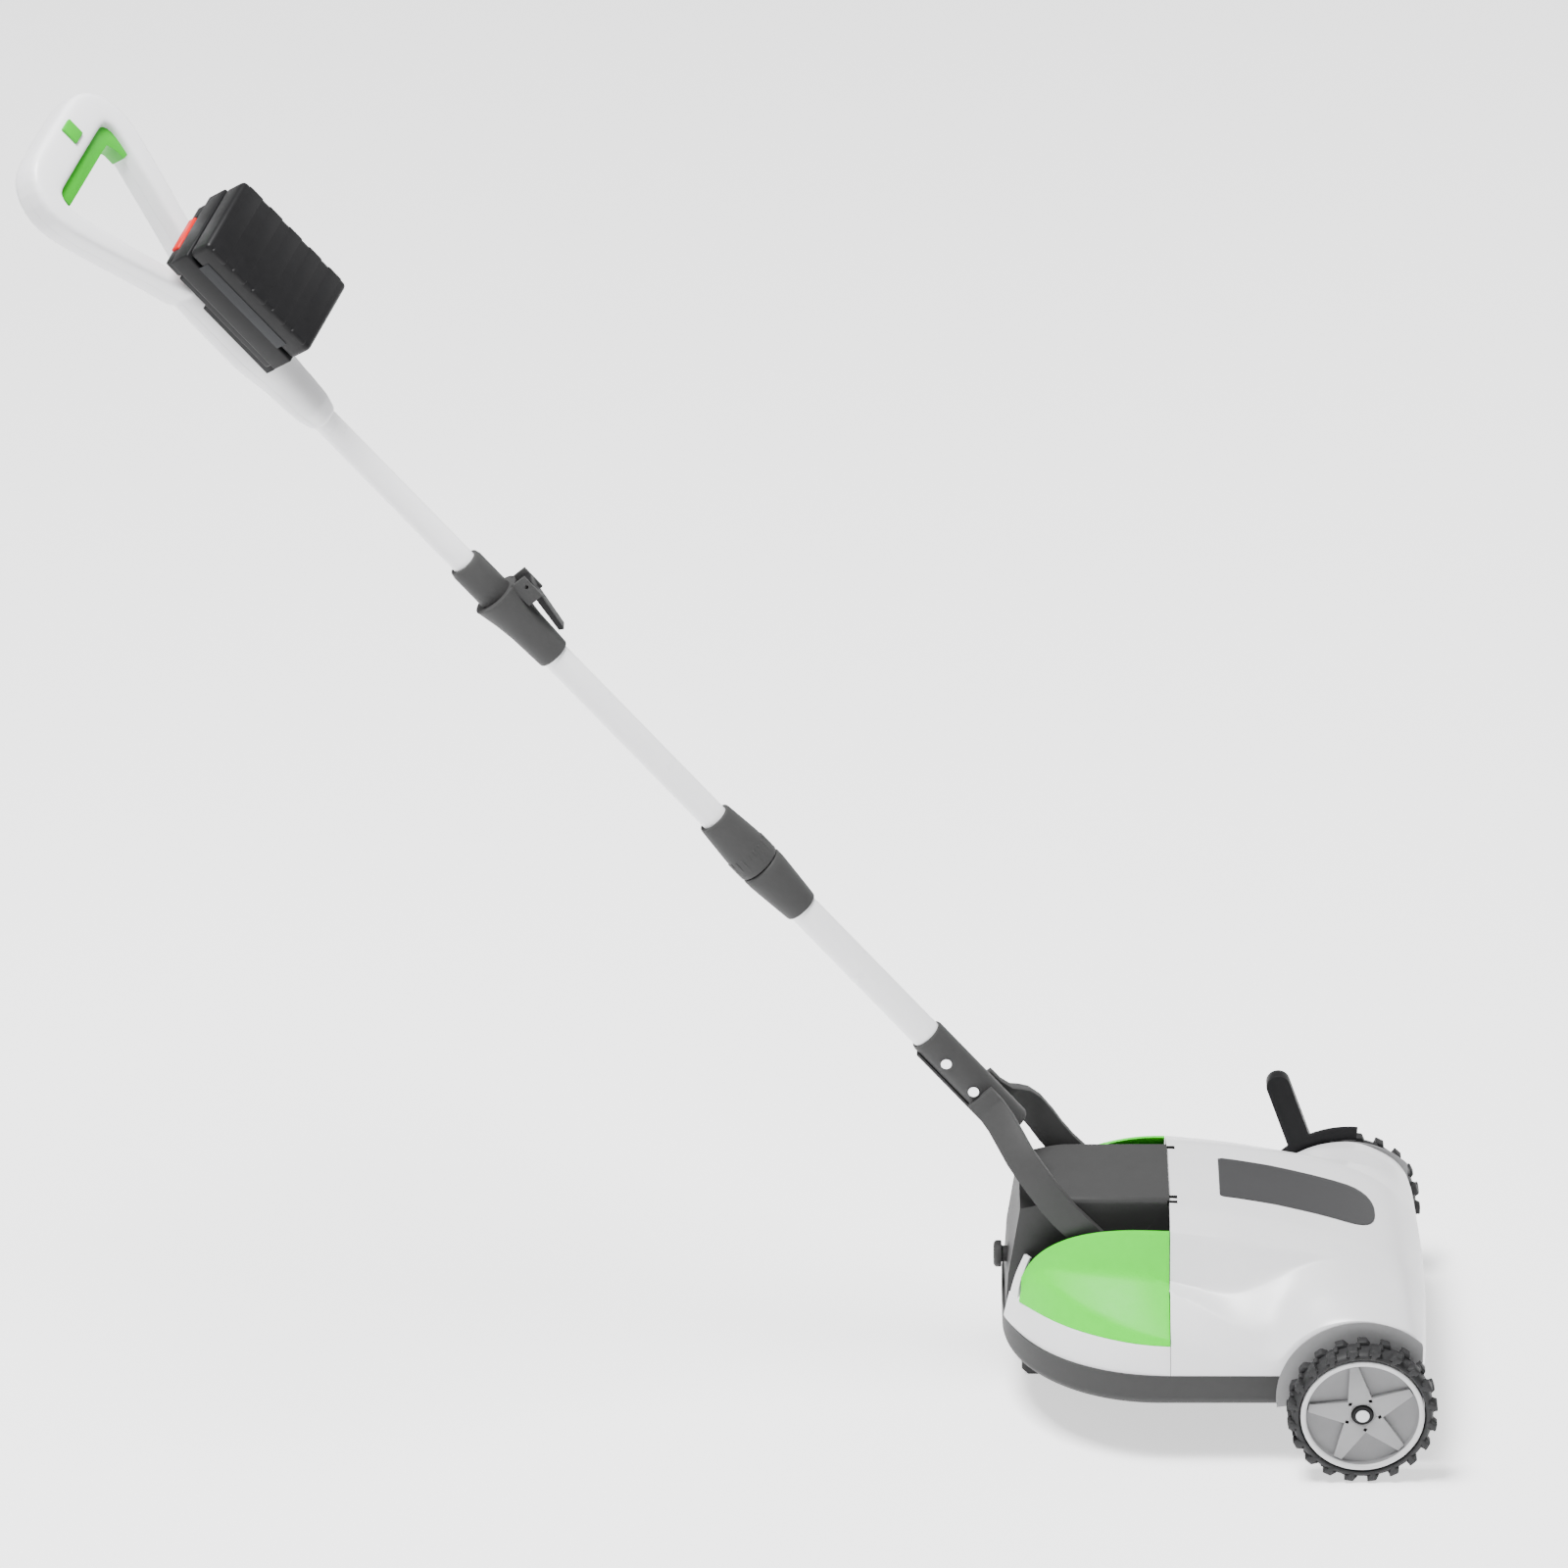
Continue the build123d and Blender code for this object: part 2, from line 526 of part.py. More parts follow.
for wheel_side, wheel_name in ((-1, "right"), (1, "left")):
    with BuildPart() as bush:
        with BuildSketch(side_plane(wheel_side * (TYRE_IN + 0.5))):
            with Locations((AXLE_X, -AXLE_Z)):
                Circle(BUSH_OUTER)
                Circle(STUB_RADIUS + RUN_GAP, mode=Mode.SUBTRACT)
        extrude(amount=wheel_side * (TYRE_WIDTH - 3.5))
    save(bush, f"wheel_bush_{wheel_name}")

    with BuildPart() as rim:
        with BuildSketch(side_plane(wheel_side * (TYRE_IN + 1))):
            with Locations((AXLE_X, -AXLE_Z)):
                Circle(RIM_RADIUS)
        extrude(amount=wheel_side * (TYRE_WIDTH - 2))
        with BuildSketch(side_plane(wheel_side * (TYRE_OUT - 1))):
            with Locations((AXLE_X, -AXLE_Z)):
                Circle(RIM_RADIUS - 4)
        extrude(amount=-wheel_side * 4, mode=Mode.SUBTRACT)
        with BuildSketch(side_plane(wheel_side * (TYRE_IN + 1))):
            with Locations((AXLE_X, -AXLE_Z)):
                Circle(RIM_RADIUS - 4)
                Circle(BUSH_OUTER + 4, mode=Mode.SUBTRACT)
        extrude(amount=wheel_side * (TYRE_WIDTH - 9), mode=Mode.SUBTRACT)
        with BuildSketch(side_plane(wheel_side * (TYRE_OUT - 5), AXLE_X, AXLE_Z)):
            with PolarLocations(0, 5, start_angle=-100):
                Polygon((0, -9.5), (RIM_RADIUS - 4, -2), (RIM_RADIUS - 4, 2), (0, 9.5), align=None)
        extrude(amount=wheel_side * 3)
        with BuildSketch(side_plane(wheel_side * TYRE_IN)):
            with Locations((AXLE_X, -AXLE_Z)):
                Circle(BUSH_OUTER)
        extrude(amount=wheel_side * TYRE_WIDTH, mode=Mode.SUBTRACT)
    save(rim, f"rim_{wheel_name}")

    with BuildPart() as tyre:
        with BuildSketch(side_plane(wheel_side * (TYRE_IN + 1), AXLE_X, AXLE_Z)):
            Circle(RIM_RADIUS + TYRE_DEPTH)
            Circle(RIM_RADIUS, mode=Mode.SUBTRACT)
        extrude(amount=wheel_side * (TYRE_WIDTH - 2))
        for shift, row in ((0, 0), (0.5, 1)):
            with BuildSketch(side_plane(wheel_side * (TYRE_IN + row * TYRE_WIDTH / 2), AXLE_X, AXLE_Z)):
                with PolarLocations(0, LUG_COUNT, start_angle=shift * 360 / LUG_COUNT):
                    with Locations((RIM_RADIUS + 2, 0)):
                        Rectangle(TYRE_DEPTH + LUG_HEIGHT - 2, 7, align=(Align.MIN, Align.CENTER))
                Circle(WHEEL_RADIUS, mode=Mode.INTERSECT)
            extrude(amount=wheel_side * TYRE_WIDTH / 2)
    save(tyre, f"tyre_{wheel_name}")

# Height lever: hub on the cross shaft, web, toothed sector and a raised grip bar.
SECTOR_IN, SECTOR_OUT = 64.0, 74.0
LEVER_TIP = (AXLE_X - 54, AXLE_Z + 109)
LEVER_ROOT = (AXLE_X - 37, AXLE_Z + 60)
with BuildPart() as lever:
    with BuildSketch(side_plane(LEVER_IN)):
        with Locations((SHAFT_X, -AXLE_Z)):
            Circle(15)
        with BuildLine():
            Polyline((SHAFT_X - 8, -AXLE_Z - 10), (AXLE_X - 14, -AXLE_Z - 64), (AXLE_X - 40, -AXLE_Z - 50),
                     (SHAFT_X - 14, -AXLE_Z), close=True)
        make_face()
        with BuildSketch(mode=Mode.PRIVATE) as sector:
            with Locations((AXLE_X, -AXLE_Z)):
                Circle(SECTOR_OUT)
                Circle(SECTOR_IN, mode=Mode.SUBTRACT)
                Polygon((0, 0), (8, -90), (-60, -90), (-90, -70), align=None, mode=Mode.INTERSECT)
        add(sector.sketch)
        with Locations((SHAFT_X, -AXLE_Z)):
            Circle(STUB_RADIUS, mode=Mode.SUBTRACT)
    extrude(amount=LEVER_THICK)
    with BuildSketch(side_plane(LEVER_IN)):
        with BuildLine():
            Line((LEVER_ROOT[0], -LEVER_ROOT[1]), (LEVER_TIP[0], -LEVER_TIP[1]))
        trace(line_width=18)
        with Locations((LEVER_TIP[0], -LEVER_TIP[1])):
            Circle(9)
    extrude(amount=11)
save(lever, "height_lever")

# ---------------------------------------------------------------- yoke and pole
arm_line = (
    (-22, 212),
    (-9, 194),
    (4, 175),
    (24, 152),
    (PIVOT_X, PIVOT_Z),
)
with BuildPart() as yoke:
    with BuildPart(pole_plane(-BRACKET_LENGTH), mode=Mode.PRIVATE) as socket:
        Cylinder(BRACKET_R, BRACKET_LENGTH, align=LOW)
    add(socket.part)
    for side in (-1, 1):
        arm_in = side * ARM_IN if side > 0 else -ARM_IN - ARM_THICK
        with BuildSketch(side_plane(arm_in)):
            with BuildLine():
                Spline(*[(x, -z) for x, z in arm_line])
            trace(line_width=ARM_WIDTH)
            with Locations((PIVOT_X, -PIVOT_Z)):
                Circle(ARM_WIDTH / 2)
            with Locations((arm_line[0][0], -arm_line[0][1])):
                Circle(ARM_WIDTH / 2)
        extrude(amount=ARM_THICK)
    with BuildSketch(side_plane(0)):
        with Locations((arm_line[0][0], -arm_line[0][1])):
            Circle(BRACKET_R)
    extrude(amount=ARM_IN, both=True)
    with BuildSketch(side_plane(0)):
        with Locations((PIVOT_X, -PIVOT_Z)):
            Circle(PIVOT_RADIUS + RUN_GAP)
        for station in BOLT_STATIONS:
            with Locations((along(station).X, -along(station).Z)):
                Circle(BOLT_R)
    extrude(amount=200, both=True, mode=Mode.SUBTRACT)
    with BuildPart(pole_plane(LOWER_TUBE_SPAN[0]), mode=Mode.PRIVATE) as socket_bore:
        Cylinder(LOWER_TUBE_R, 200, align=LOW)
    add(socket_bore.part, mode=Mode.SUBTRACT)
save(yoke, "yoke")


def pole_tube(name, span, radius, holes=()):
    """One telescoping tube between two stations, with cross holes for bolts."""
    with BuildPart() as tube:
        with BuildPart(pole_plane(span[0]), mode=Mode.PRIVATE) as wall:
            Cylinder(radius, span[1] - span[0], align=LOW)
            Cylinder(radius - TUBE_WALL, span[1] - span[0], align=LOW, mode=Mode.SUBTRACT)
        add(wall.part)
        for station in holes:
            with BuildSketch(side_plane(0)):
                with Locations((along(station).X, -along(station).Z)):
                    Circle(BOLT_R)
            extrude(amount=100, both=True, mode=Mode.SUBTRACT)
    save(tube, name)


pole_tube("tube_lower", LOWER_TUBE_SPAN, LOWER_TUBE_R, BOLT_STATIONS)
pole_tube("tube_middle", MIDDLE_TUBE_SPAN, MIDDLE_TUBE_R)
pole_tube("tube_upper", UPPER_TUBE_SPAN, UPPER_TUBE_R)

with BuildPart() as bolts:
    for station in BOLT_STATIONS:
        with BuildSketch(side_plane(-BRACKET_R - 2)):
            with Locations((along(station).X, -along(station).Z)):
                Circle(BOLT_R)
        extrude(amount=2 * BRACKET_R + 4)
save(bolts, "bracket_bolts")

clamp_length = CLAMP_SEAM - CLAMP_START
nut_length = CLAMP_END - CLAMP_SEAM
save(turned(CLAMP_START, ((LOWER_TUBE_R, 0), (LOWER_TUBE_R + 1.5, 0), (CLAMP_R, clamp_length - 3),
                          (CLAMP_R, clamp_length), (LOWER_TUBE_R, clamp_length))), "twist_lock_body")
NUT_BORE = MIDDLE_TUBE_R + RUN_GAP
save(turned(CLAMP_SEAM, ((NUT_BORE, 0.5), (CLAMP_R, 0.5), (CLAMP_R, 4), (MIDDLE_TUBE_R + 3, nut_length),
                         (NUT_BORE, nut_length))), "twist_lock_nut")
lock_length = LOCK_RIM - LOCK_START
SLEEVE_BORE = UPPER_TUBE_R + RUN_GAP
seat = MIDDLE_TUBE_SPAN[1] - LOCK_START
cam_lock = turned(LOCK_START, ((MIDDLE_TUBE_R, 0), (MIDDLE_TUBE_R + 2, 0), (MIDDLE_TUBE_R + 3.5, 0.47 * lock_length),
                               (MIDDLE_TUBE_R + 8.5, lock_length),
                               (SLEEVE_BORE, lock_length), (SLEEVE_BORE, seat), (MIDDLE_TUBE_R, seat)))
sleeve_length = LOCK_END - LOCK_RIM
save(turned(LOCK_RIM, ((SLEEVE_BORE, 0), (UPPER_TUBE_R + 3.7, 0), (UPPER_TUBE_R + 3.7, sleeve_length),
                        (SLEEVE_BORE, sleeve_length))),
     "cam_lock_sleeve")

CAM_Y = 5.8
CAM_PIN_STATION = LOCK_RIM - 7
CAM_PIN_DEPTH = MIDDLE_TUBE_R + 13.5
CAM_PIN_R = 1.5


def cross_plane(y):
    """Plane across Y whose local X runs up the pole and local Y towards the pole's front."""
    return Plane(origin=along(0) + Vector(0, y, 0), x_dir=POLE_DIR, z_dir=(0, 1, 0))


with BuildPart() as cam_body:
    for side in (-1, 1):
        with BuildSketch(cross_plane(side * (CAM_Y + 0.2))):
            Polygon((LOCK_RIM - 22, MIDDLE_TUBE_R + 5.5), (LOCK_RIM, MIDDLE_TUBE_R + 5.5), (LOCK_RIM, CAM_PIN_DEPTH + 4),
                    (LOCK_RIM - 12, CAM_PIN_DEPTH + 4), align=None)
            with Locations((CAM_PIN_STATION, CAM_PIN_DEPTH)):
                Circle(CAM_PIN_R, mode=Mode.SUBTRACT)
        extrude(amount=side * 3)
    add(cam_lock.part)
save(cam_body, "cam_lock_body")
with BuildPart() as cam_lever:
    with BuildSketch(cross_plane(0)):
        with Locations((CAM_PIN_STATION, CAM_PIN_DEPTH)):
            Circle(4.5)
        Polygon((CAM_PIN_STATION, CAM_PIN_DEPTH + 4.5), (CAM_PIN_STATION, CAM_PIN_DEPTH - 1),
                (LOCK_RIM - 50, MIDDLE_TUBE_R + 7), (LOCK_RIM - 52, MIDDLE_TUBE_R + 10.5), align=None)
        with Locations((CAM_PIN_STATION, CAM_PIN_DEPTH)):
            Circle(CAM_PIN_R + RUN_GAP, mode=Mode.SUBTRACT)
    extrude(amount=CAM_Y, both=True)
save(cam_lever, "cam_lever")
with BuildPart() as cam_pin:
    with BuildSketch(cross_plane(0)):
        with Locations((CAM_PIN_STATION, CAM_PIN_DEPTH)):
            Circle(CAM_PIN_R)
    extrude(amount=CAM_Y + 3.2, both=True)
save(cam_pin, "cam_pin")

# ---------------------------------------------------------------- handle
neck_points = ((COLLAR_END - 2, 15), (COLLAR_END + 26, NECK_HALF - 1), (COLLAR_END + 76, NECK_HALF))
loop_points = (
    *neck_points,
    (COLLAR_END + 112, NECK_HALF + 7),
    (COLLAR_END + 148, NECK_HALF + 21),
    (GRIP_INNER - 8, HANDLE_HALF + 2),
    (GRIP_OUTER, HANDLE_HALF - 16),
)


def mirrored(points):
    """The points on one side of the handle's centre line, then those on the other side."""
    return (*points, *[(u, -v) for u, v in reversed(points)])


def handle_form(inset):
    """Outer form of the handle, moved inwards by inset."""
    with BuildPart() as form:
        with BuildSketch(handle_plane()):
            with BuildSketch(mode=Mode.PRIVATE) as outline:
                Polygon(*mirrored(loop_points), align=None)
                fillet(outline.vertices().group_by(Axis.X)[-1], 14)
                if inset:
                    offset(amount=-inset)
            with BuildSketch(mode=Mode.PRIVATE) as opening:
                Polygon((GRIP_INNER, ARM_HALF_OPEN), (GRIP_INNER, -ARM_HALF_OPEN), (GRIP_INNER - 132, -5),
                        (GRIP_INNER - 132, 5), align=None)
                fillet(opening.vertices(), 5)
                if inset:
                    offset(amount=inset)
            add(outline.sketch)
            add(opening.sketch, mode=Mode.SUBTRACT)
        extrude(amount=LOOP_THICK - inset, both=True)
        with BuildSketch(handle_plane()):
            Polygon(*mirrored(neck_points), align=None)
            if inset:
                offset(amount=-inset)
        extrude(amount=NECK_THICK - inset, both=True)
    return form.part


with BuildPart(pole_plane(COLLAR_START)) as collar:
    Cone(13, 15.5, COLLAR_END - COLLAR_START, align=LOW)
with BuildPart(pole_plane(COLLAR_START - 1)) as tube_room:
    Cylinder(UPPER_TUBE_R + RUN_GAP, COLLAR_END - COLLAR_START - 4, align=LOW)

TRIGGER_HALF = 6.5
PIVOT_U, PIVOT_V = GRIP_INNER - 4, -ARM_HALF_OPEN - 3
LOCK_U, LOCK_V = GRIP_OUTER - 14, -8.0
BUTTON_U = COLLAR_END - 17
BUTTON_R = 4.0
handle_outer = handle_form(0)
handle_inner = handle_form(HANDLE_WALL)
for half, half_name in ((1, "front"), (-1, "rear")):
    with BuildPart() as shell:
        add(handle_outer)
        add(collar.part)
        add(handle_inner, mode=Mode.SUBTRACT)
        add(tube_room.part, mode=Mode.SUBTRACT)
        with BuildSketch(handle_plane()):
            Rectangle(3000, 400)
        extrude(amount=half * 100, mode=Mode.INTERSECT)
        with BuildSketch(handle_plane()):
            with Locations((GRIP_INNER - 11, -6)):
                Rectangle(42, 91)
        extrude(amount=half * (TRIGGER_HALF + 0.4), mode=Mode.SUBTRACT)
        if half > 0:
            with BuildSketch(handle_plane()):
                with Locations((LOCK_U, LOCK_V)):
                    Rectangle(15.4, 12.4)
            extrude(amount=30, mode=Mode.SUBTRACT)
        else:
            with BuildSketch(handle_plane(-UPPER_TUBE_R - 1)):
                with Locations((BUTTON_U, 0)):
                    Circle(BUTTON_R + RUN_GAP)
            extrude(amount=-30, mode=Mode.SUBTRACT)
    save(shell, f"handle_{half_name}_shell")

with BuildPart() as trigger:
    with BuildSketch(handle_plane()):
        Polygon((GRIP_INNER - 12, 37), (GRIP_INNER + 4, 37), (GRIP_INNER + 4, -50), (GRIP_INNER - 24, -46),
                (GRIP_INNER - 30, -40), (GRIP_INNER - 29, -33), (GRIP_INNER - 20, -33), (GRIP_INNER - 12, -30),
                align=None)
        with Locations((PIVOT_U, PIVOT_V)):
            Circle(2 + RUN_GAP, mode=Mode.SUBTRACT)
    extrude(amount=TRIGGER_HALF, both=True)
save(trigger, "trigger")
with BuildPart() as trigger_pin:
    with BuildSketch(handle_plane()):
        with Locations((PIVOT_U, PIVOT_V)):
            Circle(2)
    extrude(amount=LOOP_THICK - HANDLE_WALL, both=True)
save(trigger_pin, "trigger_pin")
with BuildPart() as switch:
    with BuildSketch(handle_plane()):
        with Locations((GRIP_OUTER - HANDLE_WALL - 6, 22)):
            Rectangle(10, 24)
    extrude(amount=8, both=True)
save(switch, "trigger_switch")
with BuildPart(Plane(origin=along(GRIP_INNER + 4.3) + GRIP_DIR * 24, x_dir=GRIP_DIR, z_dir=POLE_DIR)) as spring:
    Cylinder(3, GRIP_OUTER - HANDLE_WALL - 11.3 - GRIP_INNER - 4.3, align=LOW)
    Cylinder(2, 40, align=LOW, mode=Mode.SUBTRACT)
save(spring, "trigger_spring")
with BuildPart() as lock_off:
    with BuildSketch(handle_plane(LOOP_THICK - 6)):
        with Locations((LOCK_U, LOCK_V)):
            Rectangle(15, 12)
    extrude(amount=8)
    fillet(lock_off.edges().filter_by(lambda edge: edge.length > 14), 1)
save(lock_off, "lock_off_button")
with BuildPart() as tube_button:
    with BuildSketch(handle_plane(-UPPER_TUBE_R - 3)):
        with Locations((BUTTON_U, 0)):
            Circle(BUTTON_R)
    extrude(amount=-6)
save(tube_button, "tube_button")

# ---------------------------------------------------------------- battery dock and battery
DOCK_END = BATTERY_START + 69
FOOT_START = BATTERY_START + 18
rail_top = NECK_THICK + 2 + RAIL_HEIGHT
FOOT_HALF = RAIL_WIDTH / 2


def block(plane, u_span, v_half, height):
    """Solid block on a handle plane between two stations."""
    with BuildPart() as piece:
        with BuildSketch(plane):
            with Locations(((u_span[0] + u_span[1]) / 2, 0)):
                Rectangle(u_span[1] - u_span[0], 2 * v_half)
        extrude(amount=height)
    return piece.part


dock_span = (BATTERY_START, DOCK_END)
with BuildPart() as dock:
    add(block(handle_plane(NECK_THICK), dock_span, FOOT_HALF + 4, 2 + RAIL_HEIGHT))
    slot_span = (BATTERY_START + 4, DOCK_END + 9)
    add(block(handle_plane(NECK_THICK + 2), slot_span, FOOT_HALF + DOCK_GAP, 4), mode=Mode.SUBTRACT)
    add(block(handle_plane(NECK_THICK + 2), slot_span, FOOT_HALF - 3, 40), mode=Mode.SUBTRACT)
save(dock, "battery_dock")
terminal = BuildPart()
with terminal:
    add(block(handle_plane(NECK_THICK + 2), (BATTERY_START + 4, FOOT_START - 3), 13, RAIL_HEIGHT - 1))
save(terminal, "terminal_block")

case_span = (BATTERY_START + 5, BATTERY_START + 5 + BATTERY_LENGTH)
case_floor = rail_top + DOCK_GAP
CASE_SPLIT = 30.0
CASE_WALL = 2.4
latch_span = (case_span[1] - 15, case_span[1])
LATCH_HALF = 17.0
with BuildPart() as case_upper:
    add(block(handle_plane(NECK_THICK + 2 + DOCK_GAP), (FOOT_START, DOCK_END - 3), FOOT_HALF, 3.2))
    add(block(handle_plane(NECK_THICK + 2 + DOCK_GAP), (FOOT_START, DOCK_END - 3), FOOT_HALF - 3 - DOCK_GAP,
              case_floor - NECK_THICK - 2))
    add(block(handle_plane(case_floor), case_span, BATTERY_WIDTH / 2, CASE_SPLIT))
    hollow = (case_span[0] + CASE_WALL, case_span[1] - CASE_WALL)
    add(block(handle_plane(case_floor + CASE_WALL), hollow, BATTERY_WIDTH / 2 - CASE_WALL, 90), mode=Mode.SUBTRACT)
    add(block(handle_plane(case_floor - 1), (latch_span[0] - 0.6, latch_span[1] + 9), LATCH_HALF + 0.4, 12),
        mode=Mode.SUBTRACT)
save(case_upper, "battery_case_upper")
case_lower = BuildPart()
with case_lower:
    add(block(handle_plane(case_floor + CASE_SPLIT), case_span, BATTERY_WIDTH / 2, BATTERY_HEIGHT - CASE_SPLIT))
    add(block(handle_plane(case_floor), hollow, BATTERY_WIDTH / 2 - CASE_WALL, BATTERY_HEIGHT - CASE_WALL),
        mode=Mode.SUBTRACT)
save(case_lower, "battery_case_lower")
latch = BuildPart()
with latch:
    add(block(handle_plane(case_floor - 0.4), latch_span, LATCH_HALF, 8))
save(latch, "battery_latch")
CELL_PITCH = 2 * CELL_R + 0.4
with BuildPart() as cells:
    with BuildSketch(Plane(origin=along(0) - GRIP_DIR * CELL_LENGTH / 2, x_dir=POLE_DIR, z_dir=GRIP_DIR)):
        for row in range(2):
            depth = case_floor + BATTERY_HEIGHT - CASE_WALL - 0.4 - CELL_R - row * CELL_PITCH
            for column in range(5):
                with Locations((case_span[0] + 19 + column * CELL_PITCH, -depth)):
                    Circle(CELL_R)
    extrude(amount=CELL_LENGTH)
save(cells, "battery_cells")

# Screws that hold the handle shells together and the hood to the pan.
with BuildPart() as handle_screws:
    with BuildSketch(handle_plane(-LOOP_THICK)):
        with Locations((COLLAR_END + 134, 28), (COLLAR_END + 134, -28), (GRIP_INNER - 24, 49),
                       (GRIP_INNER - 24, -49)):
            Circle(2.6)
    extrude(amount=-0.8)
save(handle_screws, "handle_screws")
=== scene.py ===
"""Looks of a cordless snow shovel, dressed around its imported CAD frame.

Sizes are written in millimetres and become metres when they reach a mesh. A head
point is (forward, sideways, up); a handle point is (up the pole, along the grip, front).
"""

import json
import logging
import math
from dataclasses import dataclass
from enum import Enum
from typing import Callable, Iterable, Sequence

import bmesh
import bpy
from mathutils import Matrix, Vector

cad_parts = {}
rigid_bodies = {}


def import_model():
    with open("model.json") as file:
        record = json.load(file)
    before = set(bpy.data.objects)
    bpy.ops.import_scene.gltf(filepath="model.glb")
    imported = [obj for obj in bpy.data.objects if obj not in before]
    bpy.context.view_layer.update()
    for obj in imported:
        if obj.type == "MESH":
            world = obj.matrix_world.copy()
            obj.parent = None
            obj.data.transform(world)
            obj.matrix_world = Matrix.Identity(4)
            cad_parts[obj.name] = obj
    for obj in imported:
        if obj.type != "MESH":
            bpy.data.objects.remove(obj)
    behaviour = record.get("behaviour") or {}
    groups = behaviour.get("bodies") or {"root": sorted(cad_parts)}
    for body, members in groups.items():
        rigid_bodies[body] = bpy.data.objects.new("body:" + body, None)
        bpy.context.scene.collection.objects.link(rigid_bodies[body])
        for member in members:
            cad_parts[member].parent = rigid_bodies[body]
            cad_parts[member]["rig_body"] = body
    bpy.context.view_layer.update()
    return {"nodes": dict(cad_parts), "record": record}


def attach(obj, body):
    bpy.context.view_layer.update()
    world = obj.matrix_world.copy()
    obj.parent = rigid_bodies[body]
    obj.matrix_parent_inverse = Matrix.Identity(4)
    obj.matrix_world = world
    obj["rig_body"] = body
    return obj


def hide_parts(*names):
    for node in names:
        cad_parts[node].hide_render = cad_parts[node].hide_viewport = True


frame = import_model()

Point = Sequence[float]
Step = tuple[str, dict]

MM = 0.001
log = logging.getLogger("snow_shovel")


# ---- finishes
class Texture(Enum):
    """How a surface was made: grain size per metre, depth in metres and stretch along X, Y, Z."""

    MOULDED = (1500.0, 0.00002, (1.0, 1.0, 1.0))
    GRAINED = (1100.0, 0.00006, (1.0, 1.0, 1.0))
    COATED = (700.0, 0.00003, (1.0, 1.0, 1.0))
    BRUSHED = (900.0, 0.00002, (1.0, 0.05, 1.0))
    RUBBERY = (420.0, 0.00015, (1.0, 1.0, 1.0))


class Graph:
    """Adds nodes to a shader or geometry tree, linking sockets and setting plain values."""

    def __init__(self, tree: bpy.types.NodeTree) -> None:
        """Starts from an empty tree.

        Args:
            tree: The node tree to fill.
        """
        self.tree = tree
        tree.nodes.clear()

    def add(self, kind: str, inputs: dict | None = None, **settings: object) -> bpy.types.Node:
        """Adds one node.

        Args:
            kind: Node type name.
            inputs: Input name or number against a socket to link or a value to set.
            settings: Node properties, set before the inputs.

        Returns:
            The new node.
        """
        node = self.tree.nodes.new(kind)
        for name, value in settings.items():
            setattr(node, name, value)
        for key, value in (inputs or {}).items():
            if isinstance(value, bpy.types.NodeSocket):
                self.tree.links.new(value, node.inputs[key])
            else:
                node.inputs[key].default_value = value
        return node

    def math(self, operation: str, first: object, second: object = 0.0) -> bpy.types.NodeSocket:
        """Adds a Math node.

        Args:
            operation: Blender's name of the operation.
            first: Socket or number.
            second: Socket or number.

        Returns:
            Its output socket.
        """
        return self.add("ShaderNodeMath", {0: first, 1: second}, operation=operation).outputs[0]


def linear(colour: Point) -> tuple[float, float, float]:
    """Turns a display colour of 0 to 255 into the linear colour that shaders use."""
    return tuple(((c / 255 + 0.055) / 1.055) ** 2.4 if c > 10 else c / 3300 for c in colour)


